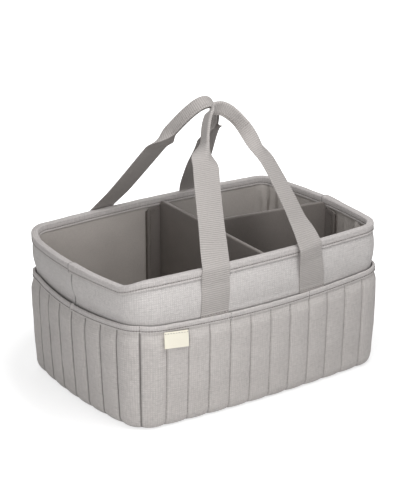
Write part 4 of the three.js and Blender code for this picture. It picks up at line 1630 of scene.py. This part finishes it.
    def handle(self) -> tuple[Array, Array, Array, Array]:
        """Outer and inner face of the handle between its two bends.

        Returns:
            The two grids, the unit direction of each row in space and the fold of each row as a share.
        """
        points, ways, above = self.leg_path()
        left = np.arange(len(points))[:, None] < len(points) / 2
        shares = [smoothstep(points[:, 1:], PULLS[self.half, side].fold_start, PULLS[self.half, side].fold_end)
                  for side in (LEFT, RIGHT)]
        share = np.where(left, *shares)
        fold = np.maximum(self.fold_turn * share, 1e-4)
        across, bend = self.across[None, :], self.fold_bend
        lean = fold * np.clip(across / bend, -1, 1)
        past = np.sign(across) * np.maximum(np.abs(across) - bend, 0)
        sideways = np.sin(lean) * bend / fold + past * np.cos(fold)
        depth = (1 - np.cos(lean)) * bend / fold + np.abs(past) * np.sin(fold)
        deepest = depth[:, -1:] + self.thickness * np.cos(fold)
        upright = np.stack([0 * ways[:, 0], np.where(ways[:, 1] < 0, -1.0, 1.0)], axis=-1)
        square = upright + (ways - upright) * smoothstep(points[:, 1:], 0.0, self.leg_square)
        square /= np.linalg.norm(square, axis=1, keepdims=True)
        turn = np.where(left, self.turn(LEFT, above), self.turn(RIGHT, above))
        free = smoothstep(above, 0.0, self.free_reach)
        hinge = -self.width / 2 * (1 - free)
        wall_way = np.array([0.0, self.inward, 0.0])
        turn_way = wall_way + (self.inner_way - wall_way) * free

        def lay(aside: Array, inwards: Array) -> Array:
            """Place section points in space.

            Args:
                aside: Distance across the strap.
                inwards: Depth behind its outer face.

            Returns:
                Grid of points.
            """
            away, dip = aside - hinge, inwards - deepest / 2
            turned = hinge + away * np.cos(turn) + dip * np.sin(turn)
            x = points[:, :1] + square[:, 1:] * turned
            height = points[:, 1:] - square[:, :1] * turned
            place = x[..., None] * np.array([1.0, 0.0, 0.0]) + height[..., None] * self.up
            place = place + (dip * np.cos(turn))[..., None] * self.inner_way
            return self.pivot + place - (away * np.sin(turn))[..., None] * turn_way[:, None, :]

        front = lay(sideways, depth)
        back = lay(sideways - self.thickness * np.sin(lean), depth + self.thickness * np.cos(lean))
        space_ways = ways[:, :1] * np.array([[1.0, 0.0, 0.0]]) + ways[:, 1:] * self.up[None, :]
        return front, back, space_ways, share[:, 0]

    def bend(self, low: Array, high: Array, way: Array) -> Array:
        """Rows that carry a strap from the upright band into the leaning handle.

        Args:
            low: Top row of the tail.
            high: Foot row of the handle.
            way: Direction of the handle at its foot.

        Returns:
            Grid of the rows between, from the tail up.
        """
        t = np.linspace(0, 1, self.bend_rows + 2)[1:-1, None, None]
        reach = np.linalg.norm(high - low, axis=1).mean()
        start_way, end_way = np.array([0.0, 0.0, reach]), way * reach
        rest = 1 - t
        return ((1 + 2 * t) * rest ** 2 * low + t * rest ** 2 * start_way
                + t ** 2 * (3 - 2 * t) * high - t ** 2 * rest * end_way)

    def build(self, finishes: Finishes) -> tuple[Lines, Lines]:
        """Make the strap.

        Args:
            finishes: The caddy's materials.

        Returns:
            Lines of stitching on the tails and on the handle.
        """
        front, back, ways, share = self.handle()
        left, right = self.tail(LEFT), self.tail(RIGHT)
        grids = []
        for face, body in enumerate((front, back)):
            up_bend = self.bend(left[face][-1], body[0], ways[0])
            down_bend = self.bend(right[face][-1], body[-1], -ways[-1])
            grids.append(np.concatenate([left[face], up_bend, body, down_bend[::-1], right[face][::-1]]))
        front, back = grids
        outwards = front - back
        outwards /= np.linalg.norm(outwards, axis=2, keepdims=True)
        steps = np.linalg.norm(np.diff(front, axis=0), axis=2).mean(axis=1)
        walked = np.concatenate([[0.0], np.cumsum(steps)])
        rib = self.rib_height * np.cos(2 * np.pi * walked / self.rib_pitch)[:, None]
        edge = self.edge_round * smoothstep(np.abs(self.across), 0.42 * self.width, 0.5 * self.width)[None, :]
        front = front + (rib - edge)[..., None] * outwards
        back = back - (rib - edge)[..., None] * outwards
        uv = np.stack(np.broadcast_arrays(self.across[None, :], walked[:, None]), axis=-1)
        name = self.half.value
        piece = plate_mesh(f"webbing_{name}", front, back, uv)
        nodes = [f"{name}_handle", f"{name}_left_strap_tail", f"{name}_right_strap_tail"]
        dress(piece, finishes.webbing, None, nodes)
        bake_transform(piece)
        return self.stitches(front + self.stitch_stand * outwards, len(left[0]) + self.bend_rows, share)

    def stitches(self, surface: Array, first: int, share: Array) -> tuple[Lines, Lines]:
        """Lines of stitching on the finished strap.

        Args:
            surface: Grid just above the strap's outer face.
            first: Row at which the handle starts.
            share: Fold of each row of the handle.

        Returns:
            Lines on the tails and lines on the handle.
        """
        tail_lines = []
        tail_rows = [surface[:first], surface[:first + len(share) - 1:-1]]
        for rows, side in zip(tail_rows, (LEFT, RIGHT)):
            mouth = float(self.pockets.top(self.sewn_at(side)))
            row = int(np.argmin(np.abs(rows[:, self.across_rows // 2, 2] - mouth - self.tail_stitch)))
            tail_lines.append(rows[row, 1:-1])
        folded = np.flatnonzero(share > 0.97) + first
        grip = [surface[folded[::5], column] for column in (2, self.across_rows - 3)]
        half = len(share) // 2
        for rows in (np.arange(half), np.arange(half, len(share))):
            row = rows[np.argmin(np.abs(share[rows] - 0.9))] + first
            grip.append(surface[row, 3:-3])
        return tail_lines, grip


# The divider, its flaps and the label

@dataclass
class UprightPlate:
    """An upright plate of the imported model, measured from its solid."""

    node: str

    def __post_init__(self) -> None:
        """Find the plate's direction and extents in plan."""
        mesh = frame["nodes"][self.node].data
        points = np.array([v.co for v in mesh.vertices], float)
        plan = np.unique(points[:, :2].round(7), axis=0)
        _, _, axes = np.linalg.svd(plan - plan.mean(axis=0), full_matrices=False)
        self.along = axes[0] * np.sign(axes[0][np.argmax(np.abs(axes[0]))])
        self.normal = np.array([-self.along[1], self.along[0]])
        reach, depth = plan @ self.along, plan @ self.normal
        self.start, self.width = reach.min(), np.ptp(reach)
        self.back, self.thickness = depth.min(), np.ptp(depth)
        self.foot, self.top = points[:, 2].min(), points[:, 2].max()
        centre = self.along * (self.start + self.width / 2) + self.normal * self.back
        self.faces_in = 1.0 if centre @ self.normal < 0 else -1.0
        self.inside, self.outside = (self.thickness, 0.0) if self.faces_in > 0 else (0.0, self.thickness)

    @property
    def flat(self) -> Span:
        """Width and height of the plate."""
        return float(self.width), float(self.top - self.foot)

    def at(self, along: Array, depth: Array, z: Array) -> Array:
        """Points on or in the plate.

        Args:
            along: Distance along the plate.
            depth: Depth through it.
            z: Height.

        Returns:
            The points, with x, y and z last.
        """
        along, depth, z = np.broadcast_arrays(along, depth, z)
        plan = (self.start + along)[..., None] * self.along + (self.back + depth)[..., None] * self.normal
        return np.concatenate([plan, z[..., None]], axis=-1)

    def grid(self, corner: float, columns: int, rows: int) -> tuple[Array, Array, Array]:
        """Even cover of the plate's face, with round upper corners.

        Args:
            corner: Radius of the upper corners.
            columns: Points along the plate.
            rows: Points up the plate.

        Returns:
            Distances along, heights, and the distance of each point to the nearest free edge.
        """
        z = (self.foot + (self.top - self.foot) * crowded(rows))[None, :]
        past = np.clip(z - (self.top - corner), 0.0, corner)
        inset = corner - np.sqrt(corner ** 2 - past ** 2)
        along = inset + (self.width - 2 * inset) * crowded(columns)[:, None]
        edge = np.minimum(np.minimum(along - inset, self.width - inset - along), self.top - z)
        return along, np.broadcast_to(z, along.shape), edge


@dataclass
class DividerArm:
    """One padded arm of the divider: a cloth cover drawn over a stiff board."""

    cover: str
    board: str
    body: str
    corner: float = 8 * MM
    edge_round: float = 1.6 * MM
    cloth: float = 1.0 * MM
    slack: float = 0.35 * MM
    slack_ease: Span = (4 * MM, 30 * MM)
    columns: int = 70
    rows: int = 54

    def build(self, finishes: Finishes) -> None:
        """Make the cover and finish the board inside it.

        Args:
            finishes: The caddy's materials.
        """
        plate = UprightPlate(self.cover)
        along, z, edge = plate.grid(self.corner, self.columns, self.rows)
        near = np.clip(1 - edge / self.edge_round, 0.0, 1.0)
        pulled = self.edge_round * (1 - np.sqrt(1 - near ** 2))
        noise = SmoothNoise(61)
        held = smoothstep(edge, *self.slack_ease) * smoothstep(z - plate.foot, 0.0, self.slack_ease[1])
        soft = self.slack * held * (0.6 + noise(along / 0.045, z / 0.06) + 0.5 * noise(along / 0.018, z / 0.05))
        front = plate.at(along, plate.thickness - pulled + soft, z)
        back = plate.at(along, pulled - soft, z)
        uv = np.stack([along, z], axis=-1)
        piece = plate_mesh(f"{self.body}_cover", front, back, uv, open_low=True)
        wall = piece.modifiers.new("cloth", "SOLIDIFY")
        wall.thickness, wall.offset = self.cloth, -1.0
        keep_result(piece)
        dress(piece, finishes.divider, self.body, [self.cover])
        paint(frame["nodes"][self.board], finishes.board)


@dataclass
class Flap:
    """A hemmed cloth flap at one end of the divider, with its hook tape and the loop tape behind it."""

    name: str
    corner: float = 3 * MM
    hem: float = 6 * MM
    hem_step: float = 0.5 * MM
    hem_fade: float = 0.6 * MM
    curl: float = 1.2 * MM
    ripple: float = 0.3 * MM
    stitch_inset: float = 4.5 * MM
    hinge_clear: float = 9 * MM
    stitch_stand: float = 0.25 * MM
    stitch_step: float = 4 * MM
    columns: int = 30
    rows: int = 60
    tape_corner: float = 1.5 * MM
    tape_edge: float = 0.8 * MM

    def lift(self, plate: UprightPlate, along: Array, z: Array, from_hinge: Array) -> Array:
        """How far the cloth has curled off its tape, which is most at the upper free corner.

        Args:
            plate: The flap's place.
            along: Distance along the plate.
            z: Height.
            from_hinge: Distance from the hinge.

        Returns:
            Distance off the plate.
        """
        away = from_hinge / plate.width
        wave = self.ripple * SmoothNoise(71)(z / 0.04, along / 0.03)
        return np.maximum(self.curl * away ** 3 + wave * away, 0.0) * smoothstep(z, plate.foot, plate.top)

    def build(self, finishes: Finishes) -> Lines:
        """Make the flap and its tapes.

        Args:
            finishes: The caddy's materials.

        Returns:
            Lines of stitching on the flap.
        """
        body = f"{self.name}_flap"
        plate = UprightPlate(body)
        hinge_along = joint_place(body)[:2] @ plate.along - plate.start
        hinge = plate.width if hinge_along > plate.width / 2 else 0.0
        along, z, edge = plate.grid(self.corner, self.columns, self.rows)
        from_hinge = np.abs(along - hinge)
        edge = np.minimum(np.where(from_hinge < plate.width / 2, plate.top - z, edge), z - plate.foot)
        hem = self.hem_step * (1 - smoothstep(edge, self.hem - self.hem_fade, self.hem))
        hem = hem * smoothstep(from_hinge, self.hinge_clear / 2, self.hinge_clear)
        lift = self.lift(plate, along, z, from_hinge)
        front = plate.at(along, plate.inside + plate.faces_in * (hem + lift), z)
        back = plate.at(along, plate.outside + plate.faces_in * lift, z)
        piece = plate_mesh(f"{body}_cloth", front, back, np.stack([along, z], axis=-1))
        dress(piece, finishes.divider, body, [body])
        self.tape("hook", body, finishes)
        self.tape("loop", "tub", finishes)
        inset = self.stitch_inset
        up = fine_stations(plate.foot + inset, plate.top - inset, self.stitch_step)
        across = fine_stations(self.hinge_clear, plate.width - inset, self.stitch_step)
        over = plate.inside + plate.faces_in * (self.hem_step + self.stitch_stand)

        def line(from_hinge: Array, height: Array) -> Array:
            """Points just above the lifted cloth."""
            place = np.abs(hinge - from_hinge)
            return plate.at(place, over + plate.faces_in * self.lift(plate, place, height, from_hinge), height)

        return [line(np.full_like(up, plate.width - inset), up), line(across, np.full_like(across, up[-1]))]

    def tape(self, kind: str, body: str, finishes: Finishes) -> None:
        """Make one of the flap's two tapes.

        Args:
            kind: hook or loop.
            body: The body that it is sewn to.
            finishes: The caddy's materials.
        """
        node = f"{self.name}_{kind}_tape"
        plate = UprightPlate(node)
        along, z, edge = plate.grid(self.tape_corner, 12, 30)
        pulled = 0.2 * plate.thickness * (1 - smoothstep(edge, 0.0, self.tape_edge))
        front, back = plate.at(along, plate.thickness - pulled, z), plate.at(along, pulled, z)
        piece = plate_mesh(f"{self.name}_{kind}_strip", front, back, np.stack([along, z], axis=-1))
        dress(piece, finishes.tape, body, [node])


@dataclass
class Label:
    """A bare cream cloth tag that hangs from the mouth of the front pockets."""

    curl: float = 1.2 * MM
    belly: float = 0.5 * MM
    stitch_drop: float = 2 * MM
    skew: float = 0.1
    slip: float = 2 * MM
    corner: float = 0.4 * MM
    columns: int = 24
    rows: int = 18
    edge: float = 0.5 * MM
    stitch_inset: float = 1.5 * MM
    stitch_stand: float = 0.35 * MM

    def build(self, finishes: Finishes) -> Lines:
        """Make the tag.

        Args:
            finishes: The caddy's materials.

        Returns:
            The line of stitching that holds it.
        """
        plate = UprightPlate("label")
        along, z, edge = plate.grid(self.corner, self.columns, self.rows)
        out = -plate.faces_in
        drop = (plate.top - z) / (plate.top - plate.foot)
        bow = self.curl * drop ** 2 + self.belly * np.sin(np.pi * drop)
        thin = 0.25 * plate.thickness * (1 - smoothstep(edge, 0.0, self.edge))

        def lay(along: Array, depth: Array, z: Array) -> Array:
            """Points of the tag, which was sewn on a little askew."""
            return plate.at(along + self.slip, depth, z - self.skew * along)

        front = lay(along, plate.outside + out * (bow - thin), z)
        back = lay(along, plate.inside + out * bow, z)
        piece = plate_mesh("blank_tag", front, back, np.stack([along, z], axis=-1))
        dress(piece, finishes.label, "label", ["label"])
        across = fine_stations(self.stitch_inset, plate.width - self.stitch_inset, 2 * self.stitch_inset)
        level = np.full_like(across, plate.top - self.stitch_drop)
        return [lay(across, np.full_like(across, plate.outside + out * self.stitch_stand), level)]


# Stitching

@dataclass
class Stitching:
    """Rows of thread stitches laid along lines."""

    name: str
    body: str
    slot: str
    pitch: float = 3.6 * MM
    stitch: float = 2.7 * MM
    thread: float = 0.7 * MM
    least: float = 0.85
    most: float = 1.1
    seed: int = 5

    def tree(self, material: Material) -> bpy.types.NodeTree:
        """Build the node tree that lays the stitches.

        Args:
            material: Finish of the thread.

        Returns:
            The new tree, with inputs for the pitch, the stitch and the thread.
        """
        tree = bpy.data.node_groups.new(f"{self.name}_tree", "GeometryNodeTree")
        tree.interface.new_socket("Geometry", in_out="INPUT", socket_type="NodeSocketGeometry")
        for label in ("Pitch", "Stitch", "Thread"):
            tree.interface.new_socket(label, in_out="INPUT", socket_type="NodeSocketFloat")
        tree.interface.new_socket("Geometry", in_out="OUTPUT", socket_type="NodeSocketGeometry")
        graph = NodeGraph(tree)
        source = graph.add("NodeGroupInput").outputs
        curve = graph.add("GeometryNodeMeshToCurve", None, {"Mesh": source["Geometry"]})
        points = graph.add("GeometryNodeCurveToPoints", {"mode": "LENGTH"},
                           {"Curve": curve.outputs["Curve"], "Length": source["Pitch"]}).outputs
        bead = graph.add("GeometryNodeMeshUVSphere", None, {"Segments": 6, "Rings": 4, "Radius": 0.5})
        size = graph.add("ShaderNodeCombineXYZ", None,
                         {"X": source["Thread"], "Y": source["Thread"], "Z": source["Stitch"]})
        vary = graph.add("FunctionNodeRandomValue", {"data_type": "FLOAT"},
                         {2: self.least, 3: self.most, "Seed": self.seed})
        scale = graph.add("ShaderNodeVectorMath", {"operation": "SCALE"},
                          {0: size.outputs["Vector"], "Scale": vary.outputs[1]})
        laid = graph.add("GeometryNodeInstanceOnPoints", None,
                         {"Points": points["Points"], "Instance": bead.outputs["Mesh"],
                          "Rotation": points["Rotation"], "Scale": scale.outputs["Vector"]})
        real = graph.add("GeometryNodeRealizeInstances", None, {"Geometry": laid.outputs["Instances"]})
        smooth = graph.add("GeometryNodeSetShadeSmooth", None, {"Geometry": real.outputs["Geometry"]})
        finish = graph.add("GeometryNodeSetMaterial", None,
                           {"Geometry": smooth.outputs["Geometry"], "Material": material})
        graph.add("NodeGroupOutput", None, {"Geometry": finish.outputs["Geometry"]})
        return tree

    def build(self, lines: Lines, material: Material) -> None:
        """Lay the stitches.

        Args:
            lines: Point rows to stitch along.
            material: Finish of the thread.
        """
        points: list[list[float]] = []
        edges: list[tuple[int, int]] = []
        for line in lines:
            first = len(points)
            points += line.tolist()
            edges += [(first + k, first + k + 1) for k in range(len(line) - 1)]
        mesh = bpy.data.meshes.new(self.name)
        mesh.from_pydata(points, edges, [])
        piece = new_object(self.name, mesh)
        tree = self.tree(material)
        modifier = piece.modifiers.new("stitches", "NODES")
        modifier.node_group = tree
        sizes = {"Pitch": self.pitch, "Stitch": self.stitch, "Thread": self.thread}
        for item in tree.interface.items_tree:
            if item.in_out == "INPUT" and item.name in sizes:
                modifier[item.identifier] = sizes[item.name]
        keep_result(piece)
        dress(piece, material, self.body)


# Camera and studio

@dataclass(frozen=True)
class Lamp:
    """One soft round lamp."""

    name: str
    place: tuple[float, float, float]
    target: tuple[float, float, float]
    size: float
    power: float

    def build(self) -> None:
        """Hang the lamp, out of the camera's sight."""
        data = bpy.data.lights.new(self.name, "AREA")
        data.shape, data.size, data.energy = "DISK", self.size, self.power
        lamp = new_object(self.name, data)
        lamp.location = self.place
        lamp.visible_camera = False
        way = Vector(self.place) - Vector(self.target)
        lamp.rotation_euler = way.to_track_quat("Z", "Y").to_euler()


@dataclass
class Studio:
    """Camera, floor and plain soft light."""

    azimuth: float = math.radians(-35.2416)
    elevation: float = math.radians(20.3335)
    distance: float = 2.20998
    target: tuple[float, float, float] = (0.00101, 0.0, 0.15295)
    lens: float = 128.33
    sensor: float = 36.0
    view_end: float = 50.0
    lamps: tuple[Lamp, ...] = (
        Lamp("high_lamp", (-0.02, -0.4, 0.83), (-0.03, 0.0, 0.14), 0.35, 3.0),
        Lamp("low_lamp", (-0.42, -0.5, 0.22), (-0.1, -0.13, 0.12), 0.3, 0.8),
        Lamp("rear_lamp", (0.4, 0.8, 0.3), (0.05, 0.1, 0.1), 0.5, 1.8),
    )
    sky: float = 0.46
    floor_size: float = 30.0
    floor_shade: float = 0.75
    floor_shine: float = 0.4
    floor_glow: float = 1.7
    shadow_reach: float = 0.24
    shadow_fade: float = 0.2

    def build(self) -> None:
        """Make the camera, the lamps, the sky and the floor."""
        bpy.context.scene.view_settings.view_transform = "Standard"
        self.build_camera()
        for lamp in self.lamps:
            lamp.build()
        self.build_sky()
        self.build_floor()

    def build_camera(self) -> None:
        """Stand the camera at the photograph's angle."""
        data = bpy.data.cameras.new("camera")
        data.lens, data.sensor_width, data.sensor_fit = self.lens, self.sensor, "AUTO"
        data.clip_end = self.view_end
        camera = new_object("camera", data)
        flat = math.cos(self.elevation)
        way = Vector((math.sin(self.azimuth) * flat, -math.cos(self.azimuth) * flat, math.sin(self.elevation)))
        camera.location = Vector(self.target) + way * self.distance
        camera.rotation_euler = way.to_track_quat("Z", "Y").to_euler()
        bpy.context.scene.camera = camera

    def build_sky(self) -> None:
        """Give an even white sky, which is plain white to the camera."""
        world = bpy.data.worlds.new("studio")
        world.use_nodes = True
        graph = NodeGraph(world.node_tree)
        strength = graph.seen_directly() * (1.0 - self.sky) + self.sky
        sky = graph.add("ShaderNodeBackground", None, {"Color": (1.0, 1.0, 1.0, 1.0), "Strength": strength})
        graph.add("ShaderNodeOutputWorld", None, {"Surface": sky.outputs["Background"]})
        bpy.context.scene.world = world

    def build_floor(self) -> None:
        """Lay a pale floor that keeps the soft shadow near the caddy and is plain white further away."""
        material = bpy.data.materials.new("floor_paper")
        material.use_nodes = True
        graph = NodeGraph(material.node_tree)
        grey = self.floor_shade
        paper = graph.add("ShaderNodeBsdfDiffuse", None, {"Color": (grey, grey, grey, 1.0)})
        glow = graph.add("ShaderNodeEmission", None, {"Color": (1.0, 1.0, 1.0, 1.0), "Strength": self.floor_glow})
        place = graph.add("ShaderNodeTexCoord").outputs["Object"]
        away = Value(graph, graph.add("ShaderNodeVectorMath", {"operation": "LENGTH"}, {0: place}).outputs["Value"])
        beyond = ((away - self.shadow_reach) / self.shadow_fade).clamped()
        shine = beyond * (1.0 - self.floor_shine) + self.floor_shine
        mixed = graph.add("ShaderNodeMixShader", None, {"Fac": graph.seen_directly() * shine,
                                                        1: paper.outputs["BSDF"], 2: glow.outputs["Emission"]})
        graph.add("ShaderNodeOutputMaterial", None, {"Surface": mixed.outputs["Shader"]})
        half = self.floor_size / 2
        mesh = bpy.data.meshes.new("floor")
        mesh.from_pydata([(-half, -half, 0), (half, -half, 0), (half, half, 0), (-half, half, 0)], [], [(0, 1, 2, 3)])
        mesh.materials.append(material)
        new_object("floor", mesh)


def main() -> None:
    """Build the caddy, its stitching and the studio."""
    logging.basicConfig(level=logging.INFO, format="%(name)s %(message)s")
    finishes = Finishes.build()
    wall = Wall()
    outline = wall.outline
    pockets, panels = PocketStrip(wall), OuterPanels(wall)
    lining, rim = Lining(wall), RimBinding(wall)
    for half in Half:
        panels.build(half, pockets, finishes)
        lining.build(half, finishes)
        rim.build(half, finishes)
        pockets.build_panel(half, finishes)
        pockets.build_tape(half, finishes)
    start = 0.0
    for name, size in (("front", outline.long_side), ("right", outline.end_side),
                       ("rear", outline.long_side), ("left", outline.end_side)):
        panels.build_foam(name, start, size, finishes)
        start += size
    Base(wall).build(finishes)
    tub_lines = rim.stitches() + pockets.stitches()
    for half in Half:
        tail_lines, grip_lines = Handle(wall, pockets, half).build(finishes)
        tub_lines += tail_lines
        body = f"{half.value}_handle"
        Stitching(f"{body}_stitches", body, "webbing").build(grip_lines, finishes.thread)
    DividerArm("cross_divider_cover", "cross_divider_board", "divider").build(finishes)
    DividerArm("long_divider_cover", "long_divider_board", "long_divider").build(finishes)
    for name in ("rear", "front", "right"):
        flap_lines = Flap(name).build(finishes)
        Stitching(f"{name}_flap_stitches", f"{name}_flap", "lining_cloth").build(flap_lines, finishes.seam_thread)
    Stitching("label_stitches", "label", "label_cloth").build(Label().build(finishes), finishes.thread)
    Stitching("tub_stitches", "tub", "outer_cloth").build(tub_lines, finishes.seam_thread)
    Studio().build()


if __name__ == "__main__":
    main()
